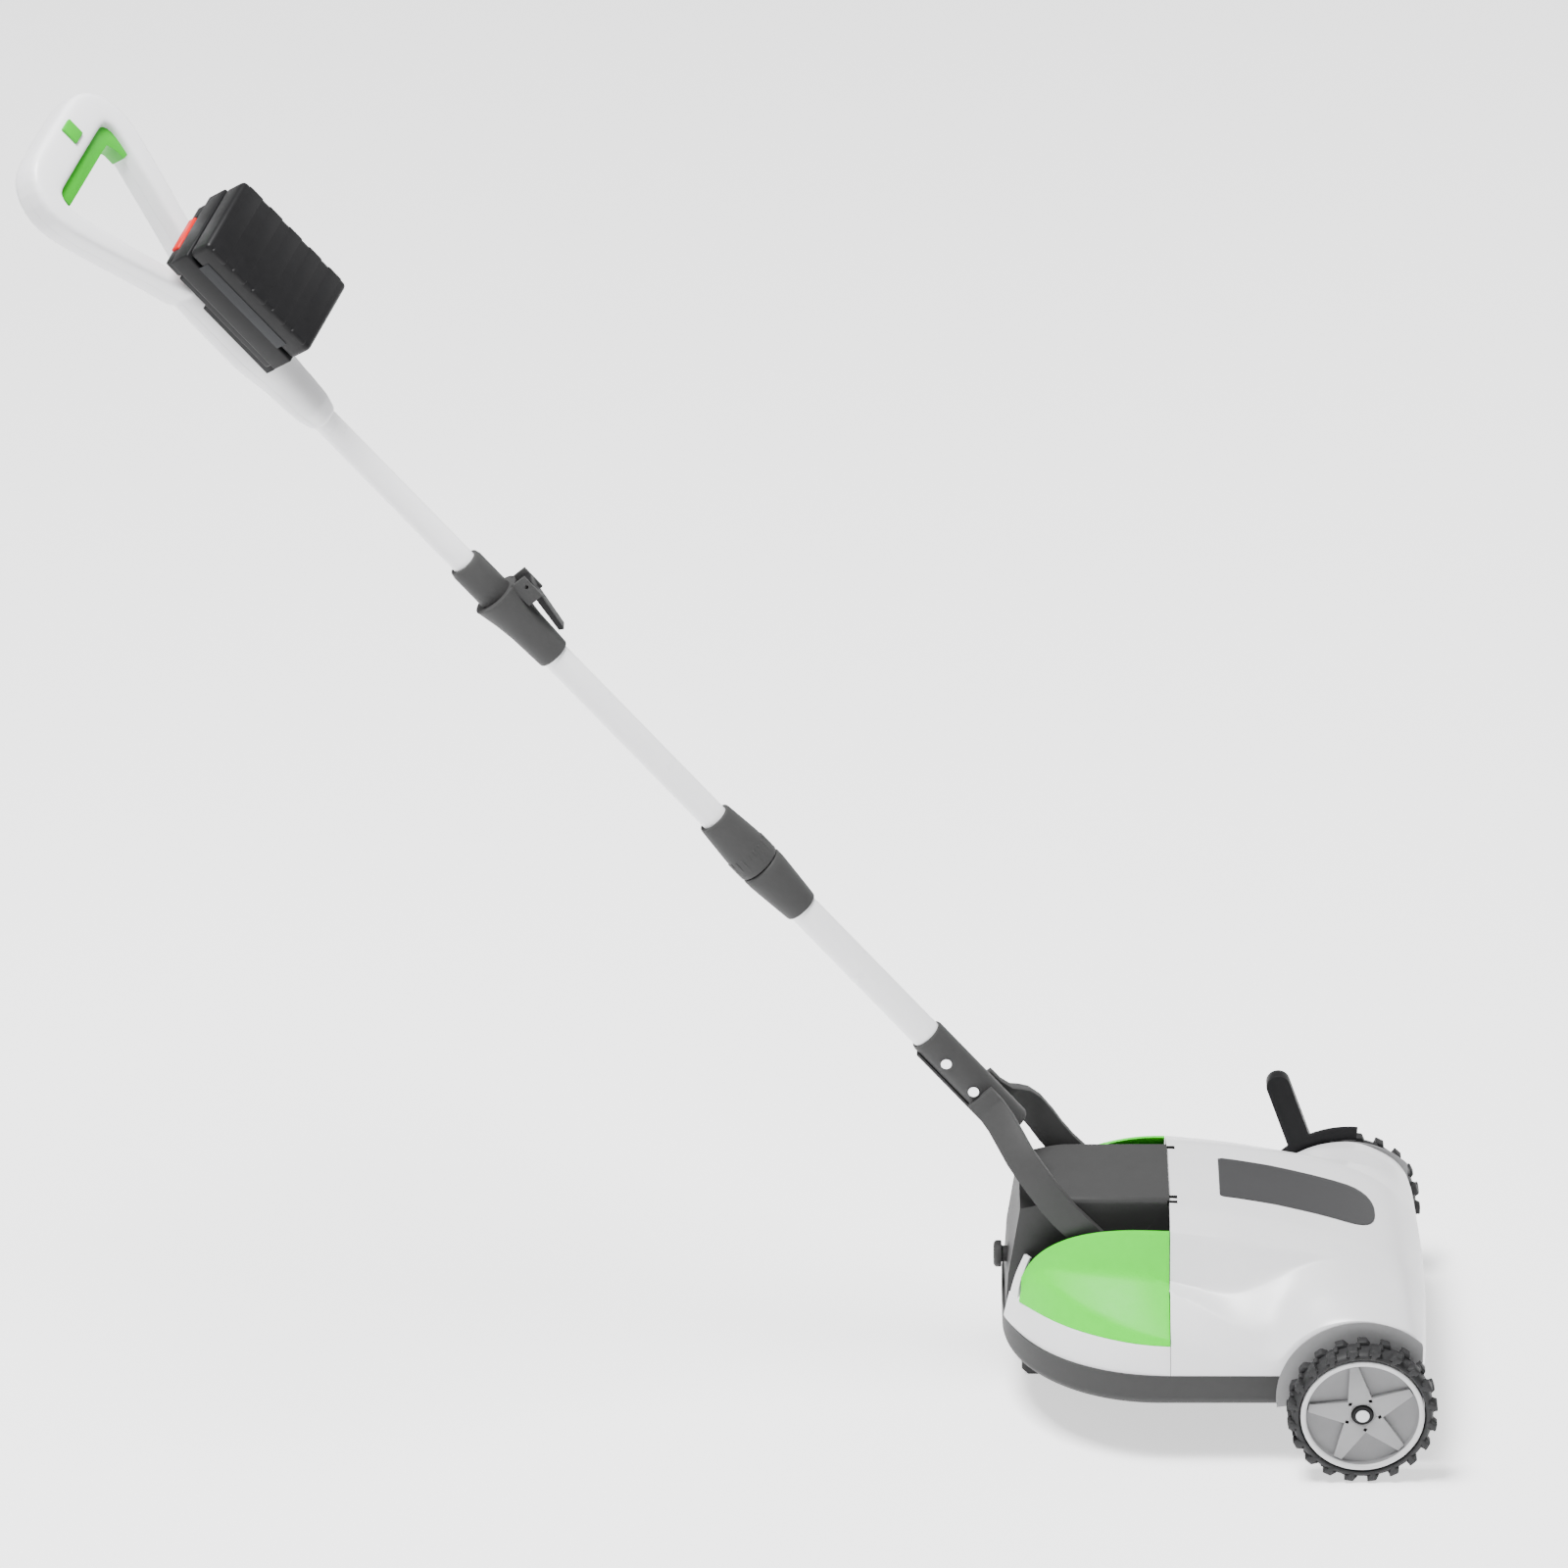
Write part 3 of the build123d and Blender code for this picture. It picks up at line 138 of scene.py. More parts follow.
@dataclass(frozen=True)
class Finish:
    """One finish: its display colour, how glossy it is and how it was made."""

    name: str
    colour: tuple[float, float, float]
    texture: Texture = Texture.MOULDED
    roughness: float = 0.4
    metallic: float = 0.0
    coat: float = 0.0
    variation: float = 0.04
    shine: float = 0.5
    glow: float = 0.0

    def material(self) -> bpy.types.Material:
        """Builds the material once and returns it each time.

        Returns:
            The procedural material of this finish.
        """
        known = bpy.data.materials.get(f"finish_{self.name}")
        if known:
            return known
        material = bpy.data.materials.new(f"finish_{self.name}")
        material.use_nodes = True
        graph = Graph(material.node_tree)
        scale, depth, stretch = self.texture.value
        place = graph.add("ShaderNodeTexCoord").outputs["Object"]
        grain_place = graph.add("ShaderNodeMapping", {"Vector": place, "Scale": stretch}).outputs[0]
        grain = graph.add(
            "ShaderNodeTexNoise", {"Vector": grain_place, "Scale": scale, "Detail": 3.0}).outputs[0]
        cloud = graph.add("ShaderNodeTexNoise", {"Vector": place, "Scale": 17.0, "Detail": 4.0}).outputs[0]
        speck = graph.add("ShaderNodeTexNoise", {"Vector": place, "Scale": 160.0, "Detail": 2.0}).outputs[0]
        mixed = graph.math("ADD", graph.math("MULTIPLY", cloud, 0.6), graph.math("MULTIPLY", speck, 0.4))
        spread = graph.add(
            "ShaderNodeMapRange", {"Value": mixed, "From Min": 0.35, "From Max": 0.65}).outputs[0]
        base = linear(self.colour)
        low = [c * (1 - self.variation) for c in base] + [1]
        high = [min(1, c * (1 + self.variation)) for c in base] + [1]
        tone = graph.add("ShaderNodeMix", {0: spread, 6: low, 7: high}, data_type="RGBA").outputs[2]
        gloss = graph.add(
            "ShaderNodeMapRange",
            {"Value": mixed, "From Min": 0.3, "From Max": 0.7,
             "To Min": max(0.03, self.roughness - 0.05), "To Max": self.roughness + 0.06},
        ).outputs[0]
        bump = graph.add("ShaderNodeBump", {"Height": grain, "Strength": 0.8, "Distance": depth}).outputs[0]
        shader = graph.add(
            "ShaderNodeBsdfPrincipled",
            {"Base Color": tone, "Roughness": gloss, "Metallic": self.metallic, "Coat Weight": self.coat,
             "Coat Roughness": 0.15, "Normal": bump, "Specular IOR Level": self.shine,
             "Emission Color": (1, 1, 1, 1), "Emission Strength": self.glow},
        )
        graph.add("ShaderNodeOutputMaterial", {"Surface": shader.outputs[0]})
        return material


WHITE = Finish("white_shell", (226, 226, 228), roughness=0.34, coat=0.1, variation=0.012)
GREEN = Finish("green_inlay", (56, 216, 28), roughness=0.45, variation=0.03, shine=0.2)
GREEN_CONTROL = Finish("green_control", (42, 158, 26), roughness=0.36, shine=0.3)
DARK = Finish("dark_plastic", (58, 58, 58), Texture.GRAINED, 0.54, shine=0.15)
WINDOW = Finish("window_panel", (58, 58, 59), roughness=0.42, shine=0.15)
BLACK = Finish("black_plastic", (27, 27, 28), Texture.GRAINED, 0.5, variation=0.08, shine=0.12)
LINER = Finish("liner_grey", (132, 132, 133), Texture.GRAINED, 0.58, shine=0.1)
RIM = Finish("rim_grey", (144, 144, 145), roughness=0.45, shine=0.2)
# Painted shade: a darker copy of the rim grey, laid on the disc between the star's arms so that the arms stand
# out.
RIM_SHADED_PANEL = Finish("rim_panel", (124, 124, 125), roughness=0.5, shine=0.15)
RIM_RING = Finish("rim_ring", (196, 196, 197), roughness=0.32, coat=0.1)
TYRE = Finish("tyre", (36, 36, 37), Texture.RUBBERY, 0.6, variation=0.16, shine=0.3)
RUBBER = Finish("rubber", (38, 38, 39), Texture.RUBBERY, 0.68, variation=0.1, shine=0.3)
STEEL = Finish("steel", (178, 180, 183), Texture.BRUSHED, 0.32, 1.0)
BOLT = Finish("bolt_metal", (236, 237, 239), Texture.BRUSHED, 0.2, 1.0)
TUBE = Finish("white_tube", (240, 240, 242), Texture.COATED, 0.3, coat=0.2, variation=0.01)
CAN = Finish("motor_can", (110, 112, 116), Texture.BRUSHED, 0.36, 1.0)
BRONZE = Finish("bush_bronze", (160, 122, 74), Texture.BRUSHED, 0.42, 1.0)
BOARD = Finish("circuit_board", (26, 84, 48), Texture.GRAINED, 0.4, variation=0.2)
CASE = Finish("battery_case", (21, 21, 22), Texture.GRAINED, 0.44, variation=0.08, shine=0.15)
RED = Finish("red_latch", (186, 8, 6), roughness=0.4, shine=0.2)
CELL = Finish("cell_wrap", (40, 92, 150), roughness=0.35, coat=0.1)
LABEL = Finish("label_plate", (42, 43, 45), Texture.COATED, 0.42, shine=0.15)
# Painted shade: near-black that stands in for the shade inside the seam notches, the vent slots and the hub's
# bore.
SHADOW = Finish("painted_slot_shade", (8, 8, 8), Texture.GRAINED, 0.7, shine=0.1)
FLOOR = Finish("studio_floor", (250, 250, 251), roughness=0.9, variation=0.002, glow=1.15)
CAD_FINISHES = (WHITE, GREEN, GREEN_CONTROL, DARK, WINDOW, BLACK, LINER, RIM, TYRE, RUBBER, STEEL, BOLT, TUBE,
                CAN, BRONZE, BOARD, CASE, RED, CELL)


def dress_cad_nodes() -> None:
    """Gives each CAD node the finish of its material slot, and the axle clips a black one."""
    finishes = {finish.name: finish for finish in CAD_FINISHES}
    special = {"axle_clips": BLACK}
    for name, node in frame["nodes"].items():
        for slot in node.material_slots:
            slot.material = special.get(name, finishes[slot.material.name.split(".")[0]]).material()


# ---- pieces
def linked(name: str, data: bpy.types.ID) -> bpy.types.Object:
    """Makes an object and puts it in the scene.

    Args:
        name: Name of the object.
        data: Its mesh, light or camera.

    Returns:
        The new object.
    """
    made = bpy.data.objects.new(name, data)
    bpy.context.scene.collection.objects.link(made)
    return made


def squared_ring(steps: int, power: float = 1.0) -> list[tuple[float, float]]:
    """Points on a circle of radius 1 that may bulge towards its corners.

    Args:
        steps: Number of points.
        power: 1 for a circle, and less for squarer corners.

    Returns:
        The points.
    """
    ring = []
    for k in range(steps):
        across = math.cos(2 * math.pi * k / steps)
        up = math.sin(2 * math.pi * k / steps)
        ring.append((math.copysign(abs(across) ** power, across), math.copysign(abs(up) ** power, up)))
    return ring


@dataclass
class Piece:
    """A mesh under construction, and where it belongs when it is done."""

    name: str
    finish: Finish
    body: str
    slot: str
    replaces: tuple[str, ...] = ()
    sharp: float = 32.0

    def __post_init__(self) -> None:
        """Starts an empty mesh."""
        self.mesh = bmesh.new()

    def vertices(self, points: Iterable[Point], matrix: Matrix | None = None) -> list[bmesh.types.BMVert]:
        """Adds vertices.

        Args:
            points: Points in millimetres.
            matrix: Where the points' own axes lie, in millimetres.

        Returns:
            The new vertices.
        """
        place = matrix or Matrix.Identity(4)
        return [self.mesh.verts.new((place @ Vector(p)) * MM) for p in points]

    def grid(self, rows: Sequence[Sequence[Point]], matrix: Matrix | None = None, closed: bool = False,
             creases: dict[int, float] | None = None) -> None:
        """Adds a net of four-sided faces.

        Args:
            rows: Rows of points, all of one length.
            matrix: Where the points' own axes lie.
            closed: True if each row runs round and meets its own start.
            creases: Column number against the crease of the edges along it.
        """
        net = [self.vertices(row, matrix) for row in rows]
        width = len(net[0])
        for near, far in zip(net, net[1:]):
            for a in range(width if closed else width - 1):
                b = (a + 1) % width
                self.mesh.faces.new((near[a], near[b], far[b], far[a]))
        if creases:
            layers = self.mesh.edges.layers.float
            layer = layers.get("crease_edge") or layers.new("crease_edge")
            for near, far in zip(net, net[1:]):
                for column, crease in creases.items():
                    self.mesh.edges.get((near[column], far[column]))[layer] = crease

    def capped(self, rows: Sequence[Sequence[Point]], matrix: Matrix | None = None) -> None:
        """Adds a closed tube through rings of points, with a face over each end.

        Args:
            rows: Rings of points, all of one length.
            matrix: Where the points' own axes lie.
        """
        self.grid(rows, matrix, closed=True)
        for row in (rows[0], rows[-1]):
            self.mesh.faces.new(self.vertices(row, matrix))

    def lathe(self, profile: Sequence[Point], matrix: Matrix, steps: int = 64) -> None:
        """Adds a closed solid of revolution about the matrix's Z axis.

        Args:
            profile: Closed outline of (radius, height) points.
            matrix: Where the solid's own axes lie.
            steps: Faces around the axis.
        """
        rows = [[(r * c, r * s, h) for c, s in squared_ring(steps)] for r, h in (*profile, profile[0])]
        self.grid(rows, matrix, closed=True)

    def block(self, low: Point, high: Point, matrix: Matrix | None = None) -> None:
        """Adds a box between two corners.

        Args:
            low: Lowest corner.
            high: Highest corner.
            matrix: Where the box's own axes lie.
        """
        corners = [(x, y, z) for x in (low[0], high[0]) for y in (low[1], high[1]) for z in (low[2], high[2])]
        v = self.vertices(corners, matrix)
        for face in ((0, 1, 3, 2), (4, 6, 7, 5), (0, 4, 5, 1), (2, 3, 7, 6), (0, 2, 6, 4), (1, 5, 7, 3)):
            self.mesh.faces.new([v[k] for k in face])

    def prism(self, outline: Sequence[Point], low: float, high: float, matrix: Matrix) -> None:
        """Adds a straight solid on an outline.

        Args:
            outline: Points of the outline in the matrix's XY plane.
            low: Start along the matrix's Z axis.
            high: End along the matrix's Z axis.
            matrix: Where the outline's own axes lie.
        """
        bottom = self.vertices([(x, y, low) for x, y in outline], matrix)
        top = self.vertices([(x, y, high) for x, y in outline], matrix)
        self.mesh.faces.new(bottom[::-1])
        self.mesh.faces.new(top)
        for k in range(len(outline)):
            j = (k + 1) % len(outline)
            self.mesh.faces.new((bottom[k], bottom[j], top[j], top[k]))

    def done(self, *steps: Step, flip_from: Point | None = None) -> bpy.types.Object:
        """Makes the finished object and ties it to its body.

        Args:
            steps: Modifiers to apply, each a type and its settings.
            flip_from: For an open shell, a point inside it, so that its faces look away from it.

        Returns:
            The finished object.
        """
        bmesh.ops.remove_doubles(self.mesh, verts=self.mesh.verts, dist=1e-6)
        bmesh.ops.recalc_face_normals(self.mesh, faces=self.mesh.faces)
        if flip_from is not None:
            inside = Vector(flip_from) * MM
            faces = self.mesh.faces
            if sum((f.calc_center_median() - inside).dot(f.normal) * f.calc_area() for f in faces) < 0:
                bmesh.ops.reverse_faces(self.mesh, faces=self.mesh.faces)
        data = bpy.data.meshes.new(self.name)
        self.mesh.to_mesh(data)
        self.mesh.free()
        piece = linked(self.name, data)
        piece.data.materials.append(self.finish.material())
        return self.settle(piece, steps)

    def settle(self, piece: bpy.types.Object, steps: Sequence[Step]) -> bpy.types.Object:
        """Args:
            piece: An object whose mesh is in place.
            steps: Modifiers to apply, each a type and its settings.

        Returns:
            The same object.
        """
        bake(piece, steps)
        piece.data.shade_smooth()
        piece.data.set_sharp_from_angle(angle=math.radians(self.sharp))
        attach(piece, self.body)
        if self.replaces:
            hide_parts(*self.replaces)
        log.info("%s: %d faces on %s", self.name, len(piece.data.polygons), self.body)
        return piece


def bake(piece: bpy.types.Object, steps: Sequence[Step]) -> None:
    """Applies modifiers to an object, so that it holds a plain mesh.

    Args:
        piece: The object to change.
        steps: Modifier types and their settings, in order.
    """
    for kind, settings in steps:
        modifier = piece.modifiers.new(kind.lower(), kind)
        for name, value in settings.items():
            setattr(modifier, name, value)
    if not piece.modifiers:
        return
    shown = piece.evaluated_get(bpy.context.evaluated_depsgraph_get())
    result = bpy.data.meshes.new_from_object(shown)
    piece.modifiers.clear()
    piece.data = result


def rounded(width: float, segments: int = 3) -> Step:
    """Bevel step that rounds the sharp edges by width millimetres."""
    return "BEVEL", {"width": width * MM, "segments": segments, "limit_method": "ANGLE",
                     "angle_limit": math.radians(28), "harden_normals": False}


def subdivided(levels: int = 2) -> Step:
    """Subdivision step."""
    return "SUBSURF", {"levels": levels, "render_levels": levels, "boundary_smooth": "PRESERVE_CORNERS"}


def walled(thickness: float) -> Step:
    """Step that gives an open shell a wall, inwards, of this many millimetres."""
    return "SOLIDIFY", {"thickness": thickness * MM, "offset": -1.0}


def softened(node: str, finish: Finish, radius: float, shape: Callable[[Vector], None] | None = None) -> None:
    """Stands a copy with rounded edges in for a CAD node.

    Args:
        node: The CAD node.
        finish: Its finish.
        radius: Edge radius in millimetres.
        shape: Moves one vertex, given in metres, before the edges are rounded.
    """
    source = frame["nodes"][node]
    piece = Piece(f"{node}_soft", finish, source["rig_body"], slot_of(node), (node,))
    piece.mesh.from_mesh(source.data)
    for vertex in piece.mesh.verts if shape else ():
        shape(vertex.co)
    bmesh.ops.remove_doubles(piece.mesh, verts=piece.mesh.verts, dist=3e-6)
    bmesh.ops.dissolve_limit(piece.mesh, angle_limit=math.radians(0.6), verts=piece.mesh.verts,
                             edges=piece.mesh.edges)
    piece.done(rounded(radius, 2))


def tuck_wings(place: Vector) -> None:
    """Draws the deck's low wings in under the cheeks.

    Args:
        place: Vertex position in metres, changed in place.
    """
    if place.z < 97 * MM and place.x < 89 * MM:
        place.y = max(-48 * MM, min(48 * MM, place.y))


def slot_of(node: str) -> str:
    """The record's material slot of a CAD node."""
    return next(part["material_slot"] for part in frame["record"]["subparts"] if part["node"] == node)


# ---- geometry node trees
class Inputs:
    """Named inputs of a geometry tree, with the identifiers that modifiers use."""

    def __init__(self, name: str, sockets: dict[str, str]) -> None:
        """Makes the tree, its interface and its input node.

        Args:
            name: Name of the tree.
            sockets: Input name against socket type.
        """
        self.tree = bpy.data.node_groups.new(name, "GeometryNodeTree")
        self.graph = Graph(self.tree)
        face = self.tree.interface
        face.new_socket("Geometry", in_out="INPUT", socket_type="NodeSocketGeometry")
        face.new_socket("Geometry", in_out="OUTPUT", socket_type="NodeSocketGeometry")
        self.identifiers = {
            key: face.new_socket(key, in_out="INPUT", socket_type=kind).identifier
            for key, kind in sockets.items()
        }
        self.source = self.graph.add("NodeGroupInput")

    def __getitem__(self, name: str) -> bpy.types.NodeSocket:
        """The input node's socket of this name."""
        return self.source.outputs[name]

    def close(self, geometry: bpy.types.NodeSocket) -> None:
        """Ends the tree with Realize Instances and Set Material.

        Args:
            geometry: The last geometry socket.
        """
        real = self.graph.add("GeometryNodeRealizeInstances", {"Geometry": geometry}).outputs[0]
        painted = self.graph.add(
            "GeometryNodeSetMaterial", {"Geometry": real, "Material": self["Finish"]}).outputs[0]
        self.graph.add("NodeGroupOutput", {"Geometry": painted})

    def run(self, piece: Piece, matrix: Matrix, values: dict[str, object],
            steps: Sequence[Step] = ()) -> bpy.types.Object:
        """Evaluates the tree into a plain mesh and ties it to its body.

        Args:
            piece: What the result is called and where it belongs.
            matrix: Where the tree's own axes lie, in millimetres.
            values: Input name against value; lengths in metres.
            steps: Modifiers applied after the tree.

        Returns:
            The finished object.
        """
        piece.mesh.free()
        data = bpy.data.meshes.new(piece.name)
        data.from_pydata([(0, 0, 0)], [], [])
        result = linked(piece.name, data)
        modifier = result.modifiers.new("pattern", "NODES")
        modifier.node_group = self.tree
        modifier[self.identifiers["Finish"]] = piece.finish.material()
        for key, value in values.items():
            modifier[self.identifiers[key]] = value
        bake(result, steps)
        place = matrix.copy()
        place.translation = place.translation * MM
        result.data.transform(place)
        outward_faces(result.data)
        return piece.settle(result, ())


def outward_faces(data: bpy.types.Mesh) -> None:
    """Turns the faces of closed parts outwards.

    Args:
        data: The mesh to put right.
    """
    mesh = bmesh.new()
    mesh.from_mesh(data)
    bmesh.ops.recalc_face_normals(mesh, faces=mesh.faces)
    mesh.to_mesh(data)
    mesh.free()


def ring_tree() -> Inputs:
    """Tree that sets tapered, leaning blocks in a ring about Z.

    Returns:
        The tree with inputs Count, Radius, Length, Width, Height, Taper, Lean, Phase and Finish.
    """
    names = ("Radius", "Length", "Width", "Height", "Taper", "Lean", "Phase")
    lengths = {name: "NodeSocketFloat" for name in names}
    tree = Inputs("blocks_in_a_ring", {"Count": "NodeSocketInt", **lengths, "Finish": "NodeSocketMaterial"})
    graph = tree.graph
    points = graph.add("GeometryNodePoints", {"Count": tree["Count"]}).outputs[0]
    index = graph.add("GeometryNodeInputIndex").outputs[0]
    share = graph.math("DIVIDE", index, tree["Count"])
    angle = graph.math("ADD", graph.math("MULTIPLY", share, 2 * math.pi), tree["Phase"])
    across = graph.math("MULTIPLY", graph.math("COSINE", angle), tree["Radius"])
    up = graph.math("MULTIPLY", graph.math("SINE", angle), tree["Radius"])
    spot = graph.add("ShaderNodeCombineXYZ", {"X": across, "Y": up}).outputs[0]
    placed = graph.add("GeometryNodeSetPosition", {"Geometry": points, "Position": spot}).outputs[0]
    size = graph.add(
        "ShaderNodeCombineXYZ", {"X": tree["Length"], "Y": tree["Width"], "Z": tree["Height"]}).outputs[0]
    cube = graph.add("GeometryNodeMeshCube", {"Size": size}).outputs[0]
    here = graph.add("ShaderNodeSeparateXYZ", {0: graph.add("GeometryNodeInputPosition").outputs[0]})
    run = graph.math("DIVIDE", here.outputs["X"], tree["Length"])
    narrow = graph.math("MULTIPLY", graph.math("MULTIPLY", here.outputs["Y"], run), tree["Taper"])
    shift = graph.math("SUBTRACT", graph.math("MULTIPLY", run, tree["Lean"]), narrow)
    offset = graph.add("ShaderNodeCombineXYZ", {"Y": shift}).outputs[0]
    shaped = graph.add("GeometryNodeSetPosition", {"Geometry": cube, "Offset": offset}).outputs[0]
    turn = graph.add("ShaderNodeCombineXYZ", {"Z": angle}).outputs[0]
    tree.close(graph.add(
        "GeometryNodeInstanceOnPoints", {"Points": placed, "Instance": shaped, "Rotation": turn}).outputs[0])
    return tree


def row_tree() -> Inputs:
    """Tree that sets equal blocks in a straight row along X, centred on the origin.

    Returns:
        The tree with inputs Count, Pitch, Length, Width, Height and Finish.
    """
    lengths = {name: "NodeSocketFloat" for name in ("Pitch", "Length", "Width", "Height")}
    tree = Inputs("blocks_in_a_row", {"Count": "NodeSocketInt", **lengths, "Finish": "NodeSocketMaterial"})
    graph = tree.graph
    span = graph.math("MULTIPLY", graph.math("SUBTRACT", tree["Count"], 1.0), tree["Pitch"])
    start = graph.add("ShaderNodeCombineXYZ", {"X": graph.math("MULTIPLY", span, -0.5)}).outputs[0]
    step = graph.add("ShaderNodeCombineXYZ", {"X": tree["Pitch"]}).outputs[0]
    line = graph.add("GeometryNodeMeshLine",
                     {"Count": tree["Count"], "Start Location": start, "Offset": step}).outputs[0]
    size = graph.add(
        "ShaderNodeCombineXYZ", {"X": tree["Length"], "Y": tree["Width"], "Z": tree["Height"]}).outputs[0]
    cube = graph.add("GeometryNodeMeshCube", {"Size": size}).outputs[0]
    tree.close(graph.add("GeometryNodeInstanceOnPoints", {"Points": line, "Instance": cube}).outputs[0])
    return tree


# ---- places
@dataclass(frozen=True)
class Places:
    """Where the object's own axes lie, in millimetres."""

    axle: tuple[float, float] = (232.0, 56.0)
    foot: tuple[float, float] = (-90.0, 286.0)
    rise: float = math.radians(49)
    turn: float = math.radians(28)

    @property
    def up_pole(self) -> Vector:
        """Direction up the pole."""
        return Vector((-math.cos(self.rise), 0, math.sin(self.rise)))

    @property
    def pole_front(self) -> Vector:
        """Direction across the pole, to the front and up."""
        return Vector((math.sin(self.rise), 0, math.cos(self.rise)))

    def frame_of(self, x: Vector, y: Vector, z: Vector, origin: Vector) -> Matrix:
        """Makes a matrix from axes and an origin.

        Args:
            x: Direction of X.
            y: Direction of Y.
            z: Direction of Z.
            origin: Where it lies, in millimetres.

        Returns:
            The matrix.
        """
        matrix = Matrix((x, y, z)).transposed().to_4x4()
        matrix.translation = origin
        return matrix

    def pole(self, station: float = 0.0) -> Matrix:
        """Axes at a station: X to the front, Y to the left, Z up the pole."""
        origin = Vector((self.foot[0], 0, self.foot[1])) + self.up_pole * station
        return self.frame_of(self.pole_front, Vector((0, 1, 0)), self.up_pole, origin)

    def handle(self) -> Matrix:
        """Gives the handle's axes: X up the pole, Y along the grip, Z out of the loop's front.

        Returns:
            The matrix.
        """
        grip = Vector((0, -1, 0)) * math.cos(self.turn) - self.pole_front * math.sin(self.turn)
        origin = Vector((self.foot[0], 0, self.foot[1]))
        return self.frame_of(self.up_pole, grip, self.up_pole.cross(grip), origin)

    def wheel(self, side: int, depth: float) -> Matrix:
        """Gives a wheel's axes, with Z outwards from the head.

        Args:
            side: -1 for the right wheel and 1 for the left.
            depth: Sideways distance of the origin from the head's middle.

        Returns:
            The matrix.
        """
        outward = Vector((0, side, 0))
        forward = Vector((1, 0, 0))
        origin = Vector((self.axle[0], side * depth, self.axle[1]))
        return self.frame_of(forward, outward.cross(forward), outward, origin)


PLACES = Places()


def along_line(line: Sequence[Point], x: float) -> Vector:
    """Point on a line of points that run forward, at this forward distance.

    Args:
        line: Points (x, y, z) in order of x.
        x: Where to read the line.

    Returns:
        The point between the two neighbours.
    """
    for near, far in zip(line, line[1:]):
        if x <= far[0]:
            share = (x - near[0]) / (far[0] - near[0])
            return Vector(near).lerp(Vector(far), share)
    return Vector(line[-1])


